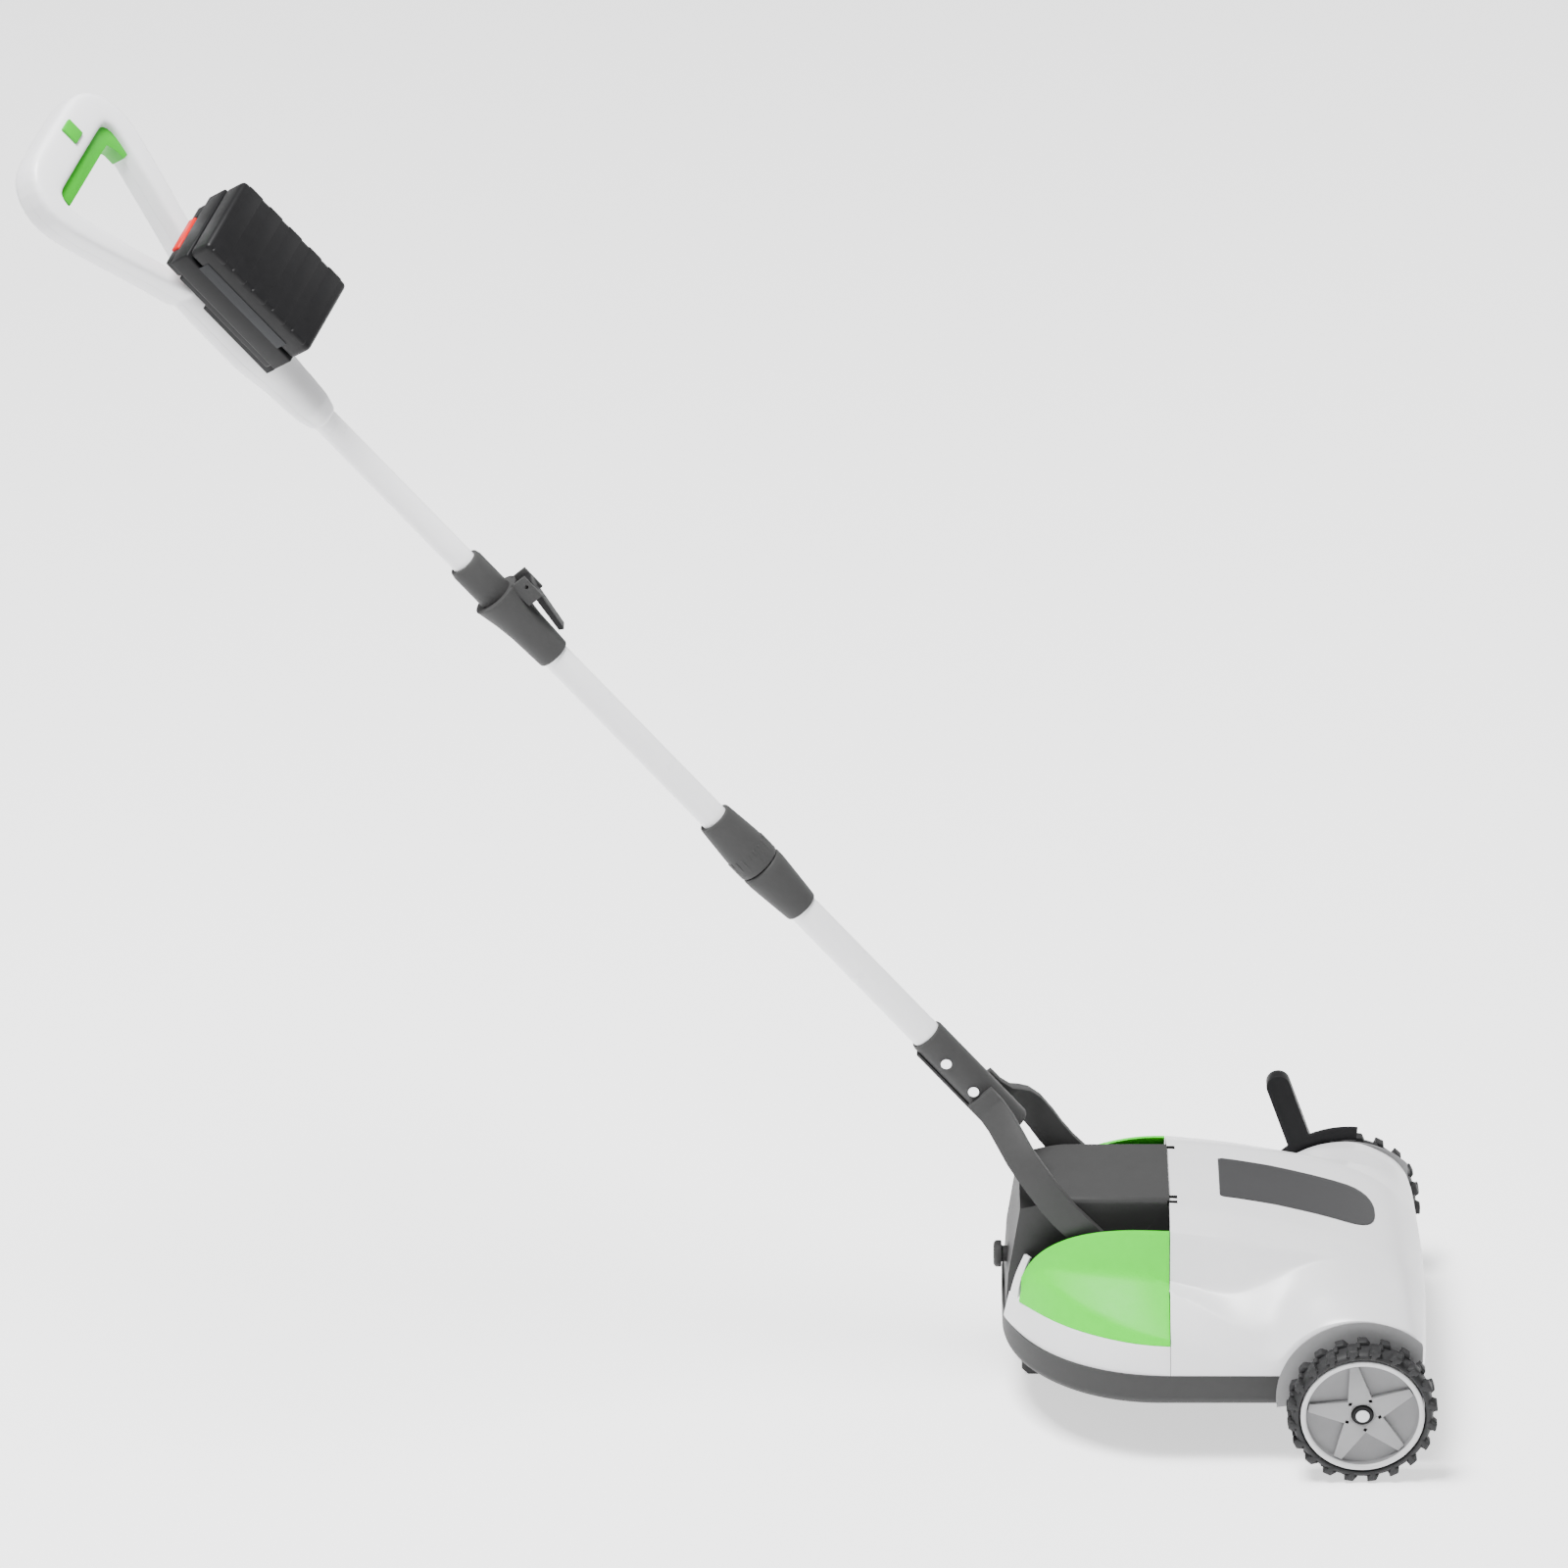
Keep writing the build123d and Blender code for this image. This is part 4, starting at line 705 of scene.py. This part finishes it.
# ---- head
@dataclass
class HeadShell:
    """Hood, window, green cheeks, rear band and the dark deck between them."""

    wall: float = 2.4
    seam: float = 91.0
    window_rise: float = 0.7
    window_start: float = 129.0
    window_turn: float = 222.0
    window_end: float = 246.0
    window_half: float = 29.5
    arch_radius: float = 63.0
    axle_hole: float = 20.0
    liner_front: float = 45.0
    stations: tuple[float, ...] = (91, 94, 113, 135, 152, 168, 178, 190, 208, 232, 250)

    def rows(self) -> list[list[Point]]:
        """Design lines of the hood's left half, from the crown down to the sill's lower edge."""
        return [
            [(91, 0, 169), (129, 0, 166.5), (170, 0, 159), (206, 0, 150), (232, 0, 141.5), (250, 0, 133)],
            [(91, 53, 167.5), (129, 55, 164.5), (170, 57, 157), (206, 60, 147.5), (232, 61, 139),
             (250, 58, 131)],
            [(91, 75, 160), (135, 76, 154.5), (170, 77, 147.5), (208, 76, 140.5), (232, 79, 133.5),
             (250, 80, 125)],
            [(91, 85, 123), (113, 90, 120), (135, 95, 118.5), (152, 93, 124), (168, 88, 131),
             (208, 78, 139), (232, 87, 131), (250, 92, 122)],
            [(91, 92, 121.5), (113, 105, 114), (135, 116, 106), (152, 122, 101), (168, 119, 106),
             (190, 114, 124), (208, 111, 130), (232, 114, 128), (250, 115, 121)],
            [(91, 94, 121.5), (113, 109, 110), (135, 123, 98.5), (152, 133, 88), (168, 138.5, 82),
             (178, 138.5, 97), (190, 138.7, 109), (208, 138.9, 118), (232, 139, 121.5), (250, 138.5, 116)],
            [(91, 127, 93), (113, 131, 88), (135, 135, 83), (168, 139, 77.5), (190, 139, 90),
             (232, 139, 97), (250, 138.5, 92)],
            [(91, 138.5, 73), (250, 139, 73)],
        ]

    def nose(self) -> list[list[Point]]:
        """Stations of the hood's left half over the nose, from the crown to the sill."""
        return [
            [(265, 0, 124), (265, 52, 121.5), (266, 80, 117), (267, 95, 115), (268, 113, 112),
             (269, 133, 107), (268, 138, 90), (267, 138.8, 73)],
            [(278, 0, 107), (278, 50, 105), (277.5, 80, 102), (277.5, 96, 100.5), (277.5, 112, 99),
             (277, 128, 95), (275, 136, 84), (273, 138, 73)],
            [(282, 0, 95), (281.5, 48, 94), (280.6, 78, 92), (280.2, 94, 91), (279.8, 110, 88.5),
             (278.8, 124, 85), (277, 133, 78), (275, 137, 73)],
            [(284, 0, 83), (283.2, 46, 83), (282, 76, 83), (281.4, 92, 81), (280.8, 107, 77),
             (279.6, 120, 74), (278, 130, 73.2), (276, 135.5, 73)],
        ]

    def hood(self) -> bpy.types.Object:
        """Builds the white hood.

        Returns:
            The hood, for the window to lie on.
        """
        lines = self.rows()
        halves = [[tuple(along_line(line, x)) for line in lines] for x in self.stations] + self.nose()
        net = [[(x, -y, z) for x, y, z in reversed(half[1:])] + list(half) for half in halves]
        middle = len(lines) - 1
        half_creases = {1: 0.6, 2: 0.8, 3: 0.85, 4: 0.4, 5: 0.9, 6: 0.3, 7: 1.0}
        creases = {middle + side * row: value for row, value in half_creases.items() for side in (-1, 1)}
        piece = Piece("hood_shell", WHITE, "chassis", "white_shell", ("hood",), sharp=38)
        piece.grid(net, creases=creases)
        return piece.done(subdivided(3), walled(self.wall), rounded(0.5, 2), flip_from=(180, 0, 60))

    def window(self, hood: bpy.types.Object) -> None:
        """Lays the dark panel on the hood's crown.

        Args:
            hood: The hood that it lies on.
        """
        start = self.window_start
        turn = self.window_turn
        tip = self.window_end - turn
        columns = [start, start + 0.8, start + 3]
        columns += [start + 3 + k * (turn - start - 3) / 12 for k in range(1, 13)]
        columns += [turn + tip * math.sin(math.radians(a)) for a in (12, 25, 38, 50, 61, 71, 80, 86, 89.5)]
        rows = []
        for x in columns:
            share = max(0.0, (x - turn) / tip)
            reach = self.window_half * max(0.0001, 1 - share ** 2.5) ** 0.4
            if x < start + 2:
                reach = self.window_half - 2 + (x - start)
            row = []
            for k in range(13):
                y = reach * (k / 6 - 1)
                hit, place, _, _ = hood.ray_cast(Vector((x, y, 300)) * MM, Vector((0, 0, -1)))
                row.append((x, y, place.z / MM + self.window_rise if hit else 140))
            rows.append(row)
        piece = Piece("window_glass", WINDOW, "chassis", "window_panel", ("window_panel",), sharp=50)
        piece.grid(rows)
        piece.done(walled(1.2), rounded(0.35, 2), flip_from=(180, 0, 60))

    def cheeks(self) -> None:
        """Builds the two green cheeks with their folded facets."""
        stations = (
            ((90.4, 74.6, 159.6), (90.4, 86, 122), (90.4, 126.3, 96.5), (90.4, 128, 92.2)),
            ((72, 74, 160), (72, 83, 127), (72, 122, 99.5), (72, 126.5, 92.2)),
            ((49, 70, 158), (49, 80, 127.5), (49, 112, 103), (49, 119, 92.2)),
            ((22, 65, 151.5), (22, 76, 126.7), (22, 97, 109), (22, 104.5, 92.2)),
            ((2, 63, 141.5), (2, 67, 125), (2, 77, 118), (2, 87.5, 92.2)),
            ((-12, 62.5, 129), (-12, 63.5, 121), (-12, 66, 110.5), (-12, 70.5, 92.2)),
            ((-19, 61.5, 113.8), (-19, 61.8, 109.3), (-19, 61, 102.5), (-20.5, 60, 92.2)),
        )
        for side, name in ((-1, "right"), (1, "left")):
            rows = [[(x, side * y, z) for x, y, z in station] for station in stations]
            piece = Piece(f"cheek_{name}_skin", GREEN, "chassis", "green_inlay", (f"cheek_{name}",), sharp=40)
            piece.grid(rows, creases={0: 1.0, 1: 0.9, 2: 0.7, 3: 1.0})
            piece.done(subdivided(3), walled(2.2), rounded(0.5, 2), flip_from=(60, 0, 60))

    def band(self) -> None:
        """Builds the white band below the cheeks, with the slim lip behind each."""
        upper = ((90.6, 128.3), (72, 127), (49, 119.8), (22, 105.3), (2, 88.3), (-12, 71.3), (-20, 60),
        (-25.5, 50),
                 (-27.5, 45.2))
        lower = ((90.6, 138.6), (72, 137.8), (43.7, 131.7), (12, 114.5), (-9, 92), (-21.5, 71), (-27.5, 57),
                 (-30.8, 49), (-31.5, 45.2))
        lip_outer = ((-21.5, 55, 92), (-20.6, 51.4, 100), (-17.6, 52.2, 112), (-12.8, 53.2, 125.5))
        lip_inner = ((-27, 46, 91), (-25, 46.4, 101), (-21.5, 47.4, 113.5), (-16.5, 48.6, 126))
        piece = Piece("rear_band", WHITE, "chassis", "white_shell", ("rear_shell",), sharp=40)
        for side in (-1, 1):
            rows = []
            for (ux, uy), (lx, ly) in zip(upper, lower):
                bulge = (0.45 * ux + 0.55 * lx, side * (0.45 * uy + 0.55 * ly + 0.8), 82)
                rows.append([(ux, side * (uy - 7), 93), (ux, side * uy, 91.8), bulge, (lx, side * ly, 73)])
            piece.grid(rows, creases={0: 1.0, 1: 0.9, 3: 1.0})
            piece.grid([[(x, side * y, z) for x, y, z in pair] for pair in zip(lip_outer, lip_inner)],
                       creases={0: 1.0, 1: 1.0})
        piece.done(subdivided(2), walled(self.wall), rounded(0.4, 2), flip_from=(60, 0, 40))

    def liners(self) -> None:
        """Builds the grey arch liners that show above the wheels."""
        piece = Piece("arch_liner_faces", LINER, "chassis", "liner_grey", ("arch_liners",), sharp=40)
        outer = self.arch_radius
        inner = self.axle_hole
        angles = [math.radians(-8 + 196 * k / 48) for k in range(49)]
        for side in (-1, 1):
            arc = [(min(outer * math.cos(a), self.liner_front), -side * outer * math.sin(a)) for a in angles]
            hole = [(inner * math.cos(a), -side * inner * math.sin(a)) for a in reversed(angles)]
            piece.prism(arc + hole, 0.1, 1.1, PLACES.wheel(side, 139))
        piece.done(rounded(0.35, 2))

    def details(self) -> None:
        """Adds the three notches at the seam as near-black blocks, painted shade for the gaps."""
        piece = Piece("seam_notches", SHADOW, "chassis", "black_plastic")
        for y, z in ((-44, 168.5), (-37, 169), (40, 169)):
            piece.block((self.seam - 1.5, y - 0.8, z - 3), (self.seam + 6, y + 0.8, z + 0.35))
        piece.done(rounded(0.3, 2))

    def build(self) -> None:
        """Builds every part of the head's outside."""
        self.window(self.hood())
        self.cheeks()
        self.band()
        self.liners()
        self.details()
        softened("center_deck", DARK, 1.1, tuck_wings)
        softened("tilt_release_knob", DARK, 0.8)
        softened("rear_skid", DARK, 1.0)


# ---- wheels and lever
@dataclass
class Wheels:
    """Two wheels: rim with a raised star, light ring, carcass and hooked lugs."""

    ring: Inputs
    inner: float = 147.5
    star_depth: float = 17.2
    star_arms: int = 5
    lugs: int = 20

    def build(self) -> None:
        """Builds both wheels."""
        for side, name in ((-1, "right"), (1, "left")):
            body = f"wheel_{name}"
            place = PLACES.wheel(side, self.inner)
            self.rim(place, body, name)
            self.star(PLACES.wheel(side, self.inner + self.star_depth), body, name)
            self.tyre(place, body, name)

    def rim(self, place: Matrix, body: str, name: str) -> None:
        """Builds the dished disc, the light ring on its edge and the hub's black collar, painted darker than
        black plastic as shade in the bore.

        Args:
            place: Wheel axes at the tyre's inner face.
            body: Body that the wheel turns with.
            name: right or left.
        """
        # Painted shade: the disc takes the darker copy of the rim grey; the star's arms keep the plain one.
        disc = Piece(f"rim_{name}_disc", RIM_SHADED_PANEL, body, "rim_grey", (f"rim_{name}",))
        disc.lathe(((8.2, 3), (14, 3), (15, 13), (38, 14.5), (40, 3), (44, 3), (44, 20), (41.6, 20),
        (40.8, 16.6),
                    (16, 15.6), (14.5, 19.2), (8.2, 19.2)), place, 72)
        disc.done(rounded(0.5, 2))
        band = Piece(f"rim_{name}_ring", RIM_RING, body, "rim_grey")
        band.lathe(((41.8, 14), (46, 14), (46, 21), (45, 22), (43, 22), (41.8, 21)), place, 96)
        band.done(rounded(0.4, 2))
        # Painted shade: the collar is near-black, darker than the black plastic, for the shade in the hub's
        # bore.
        collar = Piece(f"hub_{name}_collar", SHADOW, body, "black_plastic")
        collar.lathe(((5.4, 17), (8.1, 17), (8.1, 19.8), (7.2, 20.2), (5.4, 20.2)), place, 40)
        collar.done(rounded(0.25, 2))

    def star(self, place: Matrix, body: str, name: str) -> None:
        """Sets the star's arms on the disc.

        Args:
            place: Wheel axes at the middle of the arms' depth.
            body: Body that the wheel turns with.
            name: right or left.
        """
        values = {"Count": self.star_arms, "Radius": 24.6 * MM, "Length": 32 * MM, "Width": 13 * MM,
                  "Height": 4.2 * MM, "Taper": 1.0, "Phase": math.radians(28)}
        piece = Piece(f"star_{name}", RIM, body, "rim_grey", sharp=40)
        self.ring.run(piece, place, values, [rounded(0.55, 3)])

    def tyre(self, place: Matrix, body: str, name: str) -> None:
        """Builds the carcass and its rows of lugs.

        Args:
            place: Wheel axes at the tyre's inner face.
            body: Body that the wheel turns with.
            name: right or left.
        """
        carcass = Piece(f"tyre_{name}_carcass", TYRE, body, "tyre", (f"tyre_{name}",))
        carcass.lathe(((46.1, 1), (48.5, 0.2), (50.8, 1.2), (52.4, 4), (52.8, 8), (52.8, 14.5), (52.4, 18.5),
                       (50.8, 21.3), (48.5, 22.3), (46.1, 21.6)), place, 96)
        carcass.done(subdivided(1))
        pitch = math.pi / self.lugs
        rows = (
            ("inner", 0.0, 4.6, 53.2, 5.0, 8.0, 8.4, 0.35, 1.6),
            ("outer", pitch, 17.6, 53.2, 5.0, 8.0, 8.4, 0.35, -1.6),
            ("middle", 0.5 * pitch, 11.1, 53.0, 4.4, 4.2, 7.0, 0.2, 0.0),
            ("hook", pitch, 21.4, 51.4, 7.6, 5.0, 1.8, -0.5, -3.2),
            ("hook_inner", 0.0, 1.1, 51.4, 7.6, 5.0, 1.8, -0.5, 3.2),
        )
        for label, phase, height, radius, length, breadth, depth, taper, lean in rows:
            values = {"Count": self.lugs, "Radius": radius * MM, "Length": length * MM, "Width": breadth * MM,
                      "Height": depth * MM, "Taper": taper, "Lean": lean * MM, "Phase": phase}
            piece = Piece(f"lugs_{name}_{label}", TYRE, body, "tyre", sharp=45)
            self.ring.run(piece, place @ Matrix.Translation((0, 0, height)), values, [rounded(0.9, 2)])


# ---- pole
@dataclass
class Pole:
    """Yoke, levers and the two couplings; the tubes stay as the CAD has them."""

    ring: Inputs
    arm_half_width: float = 11.2
    arm_half_thick: float = 3.0
    twist_start: float = 141.0
    nut_start: float = 187.5
    nut_ribs: int = 18
    cam_start: float = 417.0
    sleeve_start: float = 481.0

    def build(self) -> None:
        """Builds the yoke, the two levers and the couplings."""
        self.yoke()
        softened("cam_lever", BLACK, 0.8)
        softened("height_lever", BLACK, 1.0)
        self.twist_lock()
        self.cam_lock()

    def yoke(self) -> None:
        """Builds the yoke: a socket for the tube and two flat arms that sweep apart from it."""
        path = ((-50, 15, 241), (-42, 15.2, 232), (-34, 22, 223), (-27, 35, 215.5), (-20, 47, 207.5),
        (-12, 54, 198),
                (-3, 56, 185.5), (4, 56, 175), (13, 56, 163.5), (24, 56, 152), (41, 56, 134), (58, 56, 118))
        piece = Piece("yoke_arms", DARK, "lower_pole", "dark_plastic", ("yoke",), sharp=35)
        for side in (-1, 1):
            line = [Vector((x, side * y, z)) for x, y, z in path]
            rows = []
            for k, point in enumerate(line):
                along = (line[min(k + 1, len(line) - 1)] - line[max(k - 1, 0)]).normalized()
                across = along.cross(Vector((0, 1, 0))).normalized()
                out = across.cross(along).normalized()
                corners = ((1, 1), (0, 1.25), (-1, 1), (-1, -1), (0, -1), (1, -1))
                rows.append([point + across * self.arm_half_width * a + out * self.arm_half_thick * side * b
                             for a, b in corners])
            piece.capped(rows)
            eye = PLACES.frame_of(Vector((1, 0, 0)), Vector((0, 0, -side)), Vector((0, side, 0)),
                                  Vector((58, side * 53, 118)))
            piece.lathe(((5.2, 0), (13, 0), (13, 6), (5.2, 6)), eye, 40)
        piece.lathe(((11.6, 0), (12.6, 0), (13.5, 2), (13.5, 98), (12.9, 100),
        (11.6, 100)), PLACES.pole(-100), 64)
        piece.block((-14.4, -8, -96), (-12.2, 8, -6), PLACES.pole())
        piece.done(rounded(0.9, 2))

    def twist_lock(self) -> None:
        """Builds the twist coupling: a flared body and a tapered nut with grip ribs."""
        body = Piece("twist_body", DARK, "lower_pole", "dark_plastic", ("twist_lock_body",))
        body.lathe(((11.55, 0), (13, 0), (13.4, 1.5), (15.6, 24), (16.9, 38), (17, 44.5), (16.2, 46.3),
                    (11.55, 46.3)), PLACES.pole(self.twist_start), 72)
        body.done(rounded(0.5, 2))
        nut = Piece("twist_nut", DARK, "lock_nut", "dark_plastic", ("twist_lock_nut",))
        nut.lathe(((10.6, 0.7), (16.4, 0.7), (17, 2), (17, 5), (16.2, 22), (13.7, 49), (13.2, 51.3),
                   (10.6, 51.3)), PLACES.pole(self.nut_start), 72)
        nut.done(rounded(0.5, 2))
        values = {"Count": self.nut_ribs, "Radius": 15.9 * MM, "Length": 2.2 * MM, "Width": 1.8 * MM,
                  "Height": 13 * MM}
        ribs = Piece("twist_nut_ribs", DARK, "lock_nut", "dark_plastic", sharp=45)
        self.ring.run(ribs, PLACES.pole(self.nut_start + 11), values, [rounded(0.6, 2)])

    def cam_lock(self) -> None:
        """Builds the cam coupling: a flared socket, its clamp ears and the sleeve above."""
        body = Piece("cam_socket", DARK, "middle_pole", "dark_plastic", ("cam_lock_body",))
        body.lathe(((10.55, 0), (12.3, 0), (12.8, 1.5), (14, 30), (15.6, 45), (18.6, 62), (19, 64),
        (10.0, 64),
                    (10.0, 40), (10.55, 40)), PLACES.pole(self.cam_start), 72)
        for side in (-1, 1):
            low, high = sorted((side * 6.1, side * 9))
            body.block((15, low, 44), (28, high, 64), PLACES.pole(self.cam_start))
        body.done(rounded(0.6, 2))
        sleeve = Piece("cam_sleeve", DARK, "middle_pole", "dark_plastic", ("cam_lock_sleeve",))
        sleeve.lathe(((9.55, 0), (13.2, 0), (13.2, 31), (12.2, 35), (9.55, 35)),
                     PLACES.pole(self.sleeve_start), 72)
        sleeve.done(rounded(0.4, 2))


# ---- handle
@dataclass
class Handle:
    """White D-handle in two shells, made as one smooth moulding and split at its mid plane."""

    grip_outer: float = 971.0
    grip_inner: float = 938.0
    grip_thick: float = 13.5
    voxel: float = 1.15
    wall: float = 2.2

    def loop(self) -> list[tuple[Point, Point, float]]:
        """Lists the loop's sections, from one foot over the grip to the other.

        Returns:
            For each section an outer point, an inner point and a half thickness.
        """
        half = [
            ((self.grip_outer, 0), (self.grip_inner, 0), self.grip_thick),
            ((self.grip_outer, 20), (self.grip_inner, 20), self.grip_thick),
            ((970.5, 36), (self.grip_inner, 34), self.grip_thick),
            ((964, 50), (937, 40), 13.4),
            ((948, 60), (929, 43), 13.4),
            ((929, 62.5), (916, 40.5), 13.4),
            ((908, 56.5), (898, 34.5), 13.4),
            ((880, 46), (870, 25), 13.4),
            ((850, 34), (842, 15.5), 13.6),
            ((822, 23.5), (816, 7), 14.2),
            ((806, 19), (808, 2), 15.0),
        ]
        other = [((ou, -ov), (iu, -iv), t) for (ou, ov), (iu, iv), t in half[1:]]
        return half[::-1] + other

    def form(self) -> Piece:
        """Builds the rough form of the whole handle as overlapping closed solids.

        Returns:
            The piece that holds the loop and the neck.
        """
        place = PLACES.handle()
        piece = Piece("handle_form", WHITE, "handle", "white_shell")
        rows = []
        for outer, inner, thick in self.loop():
            middle = Vector(((outer[0] + inner[0]) / 2, (outer[1] + inner[1]) / 2, 0))
            reach = Vector((outer[0], outer[1], 0)) - middle
            rows.append([middle + reach * c + Vector((0, 0, thick * s)) for c, s in squared_ring(20, 0.42)])
        piece.capped(rows, place)
        neck = (
            (826, 21, 14.5), (808, 20.5, 16.5), (790, 20, 18), (750, 20, 18.2), (738, 19.4, 17.8),
            (724, 17.2, 16.4), (712, 15.6, 15.4), (700, 15, 15), (661, 13, 13),
        )
        ring = squared_ring(28, 0.8)
        piece.capped([[(u, wide * c, thick * s) for c, s in ring] for u, wide, thick in neck], place)
        return piece

    def shells(self) -> None:
        """Melts the form into one moulding, smooths it and splits it into two shells."""
        piece = self.form()
        bmesh.ops.remove_doubles(piece.mesh, verts=piece.mesh.verts, dist=1e-6)
        bmesh.ops.recalc_face_normals(piece.mesh, faces=piece.mesh.faces)
        data = bpy.data.meshes.new("handle_form")
        piece.mesh.to_mesh(data)
        piece.mesh.free()
        rough = linked("handle_form", data)
        bake(rough, [
            ("SUBSURF", {"levels": 1, "render_levels": 1}),
            ("REMESH", {"mode": "VOXEL", "voxel_size": self.voxel * MM}),
            ("SMOOTH", {"factor": 0.5, "iterations": 5}),
        ])
        place = PLACES.handle()
        origin = place.translation * MM
        normal = place.to_3x3().col[2]
        for side, name in ((1, "front"), (-1, "rear")):
            half = Piece(f"handle_{name}", WHITE, "handle", "white_shell", (f"handle_{name}_shell",), sharp=50)
            half.mesh.from_mesh(rough.data)
            bmesh.ops.bisect_plane(
                half.mesh, geom=[*half.mesh.verts, *half.mesh.edges, *half.mesh.faces],
                plane_co=origin + normal * side * 0.1 * MM, plane_no=normal * -side, clear_outer=True)
            half.done(walled(self.wall))
        bpy.data.objects.remove(rough)

    def build(self) -> None:
        """Builds the shells and the controls in them."""
        self.shells()
        softened("trigger", GREEN_CONTROL, 2.2)
        softened("lock_off_button", GREEN_CONTROL, 1.2)
        softened("tube_button", BLACK, 0.8)
        softened("battery_dock", BLACK, 0.6)


# ---- battery
@dataclass
class Battery:
    """Slide-on battery pack: rail block, two-part case with cell bulges, label plates, vents and latch."""

    row: Inputs
    start: float = 738.0
    end: float = 850.0
    half: float = 37.0
    floor: float = 27.4
    split: float = 57.4
    top: float = 79.4
    rail_end: float = 799.0
    foot_start: float = 15.2
    cells: int = 5
    cell_pitch: float = 21.0

    def build(self) -> None:
        """Builds the pack."""
        place = PLACES.handle()
        upper = Piece("pack_upper", CASE, "battery", "battery_case", ("battery_case_upper",))
        low = self.floor + 0.6
        upper.block((self.start + 2, -self.half + 5, low), (self.end - 15.8, self.half - 5, 40), place)
        upper.block((self.start, -self.half, 38), (self.end, self.half, self.split - 0.4), place)
        upper.block((752, -21.8, 20.6), (self.rail_end, 21.8, 23.6), place)
        upper.block((751, -18.4, 20.6), (self.rail_end, 18.4, 30), place)
        foot = self.end - self.foot_start
        upper.block((foot, 17.6, low), (self.end - 1, self.half - 6, 40), place)
        upper.block((foot, -self.half + 6, low), (self.end - 1, -17.6, 40), place)
        upper.done(rounded(2.0, 3))
        lower = Piece("pack_lower", CASE, "battery", "battery_case", ("battery_case_lower",))
        lower.block((self.start + 0.6, -self.half + 0.6, self.split + 0.4),
                    (self.end - 0.6, self.half - 0.6, self.top - 0.4), place)
        lower.done(rounded(4.0, 4))
        values = {"Count": self.cells, "Pitch": self.cell_pitch * MM, "Length": 15.5 * MM, "Width": 72.6 * MM,
                  "Height": 13 * MM}
        bulges = Piece("pack_bulges", CASE, "battery", "battery_case", sharp=45)
        centre = place @ Matrix.Translation(((self.start + self.end) / 2, 0, self.top - 6.8))
        self.row.run(bulges, centre, values, [rounded(2.2, 3)])
        values = {"Count": 6, "Pitch": 4.6 * MM, "Length": 2.2 * MM, "Width": 16 * MM, "Height": 0.5 * MM}
        # Painted shade: the vents are thin near-black blocks standing in for the shade inside the vent slots.
        vents = Piece("pack_vents", SHADOW, "battery", "battery_case")
        self.row.run(vents, place @ Matrix.Translation((self.end - 28, 0, self.floor + 0.55)), values, [])
        for side in (-1, 1):
            plate = Piece(f"pack_plate_{'right' if side > 0 else 'left'}", LABEL, "battery", "battery_case")
            low, high = sorted((side * (self.half - 1), side * (self.half - 0.1)))
            plate.block((self.start + 14, low, 44), (self.end - 14, high, 66), place)
            plate.done(rounded(0.4, 2))
        softened("battery_latch", RED, 1.4)


# ---- studio
@dataclass
class Studio:
    """Pale floor, soft light and the camera."""

    elevation: float = math.radians(27)
    target: tuple[float, float, float] = (-0.1952, 0.0, 0.4939)
    distance: float = 10.0
    lens: float = 312.5
    reach: float = 30.0
    drop: float = 0.0006
    sky: float = 0.32

    def floor(self) -> None:
        """Adds the pale floor just under the wheels."""
        data = bpy.data.meshes.new("studio_floor")
        corners = [(x * self.reach, y * self.reach, -self.drop) for x, y in ((-1, -1), (1, -1), (1, 1),
                   (-1, 1))]
        data.from_pydata(corners, [], [(0, 1, 2, 3)])
        floor = linked("studio_floor", data)
        floor.data.materials.append(FLOOR.material())

    def light(self, name: str, place: Point, size: float, power: float) -> None:
        """Adds one square soft light that faces the object.

        Args:
            name: Name of the light.
            place: Where it hangs, in metres.
            size: Side of the square in metres.
            power: Power in watts.
        """
        data = bpy.data.lights.new(name, "AREA")
        data.size = size
        data.energy = power
        lamp = linked(name, data)
        lamp.location = place
        aim = Vector((0.0, 0.0, 0.35)) - Vector(place)
        lamp.rotation_euler = aim.to_track_quat("-Z", "Y").to_euler()

    def build(self) -> None:
        """Builds floor, lights, world and camera."""
        self.floor()
        self.light("key_light", (-0.8, -0.5, 3.7), 1.3, 350)
        self.light("rim_light", (1.8, 2.0, 1.5), 1.6, 16)
        self.light("fill_light", (0.4, -3.4, 1.0), 2.0, 14)
        world = bpy.data.worlds.new("studio_world")
        world.use_nodes = True
        background = world.node_tree.nodes["Background"].inputs
        background["Color"].default_value = (1, 1, 1, 1)
        background["Strength"].default_value = self.sky
        bpy.context.scene.world = world
        data = bpy.data.cameras.new("studio_camera")
        data.lens = self.lens
        data.sensor_width = 36
        data.clip_end = 100
        camera = linked("studio_camera", data)
        back = Vector((0, -math.cos(self.elevation), math.sin(self.elevation)))
        camera.location = Vector(self.target) + back * self.distance
        camera.rotation_euler = (-back).to_track_quat("-Z", "Y").to_euler()
        bpy.context.scene.camera = camera


def main() -> None:
    """Builds every sub-assembly in order."""
    logging.basicConfig(level=logging.INFO, format="%(message)s")
    dress_cad_nodes()
    ring = ring_tree()
    HeadShell().build()
    Wheels(ring).build()
    Pole(ring).build()
    Handle().build()
    Battery(row_tree()).build()
    Studio().build()


if __name__ == "__main__":
    main()
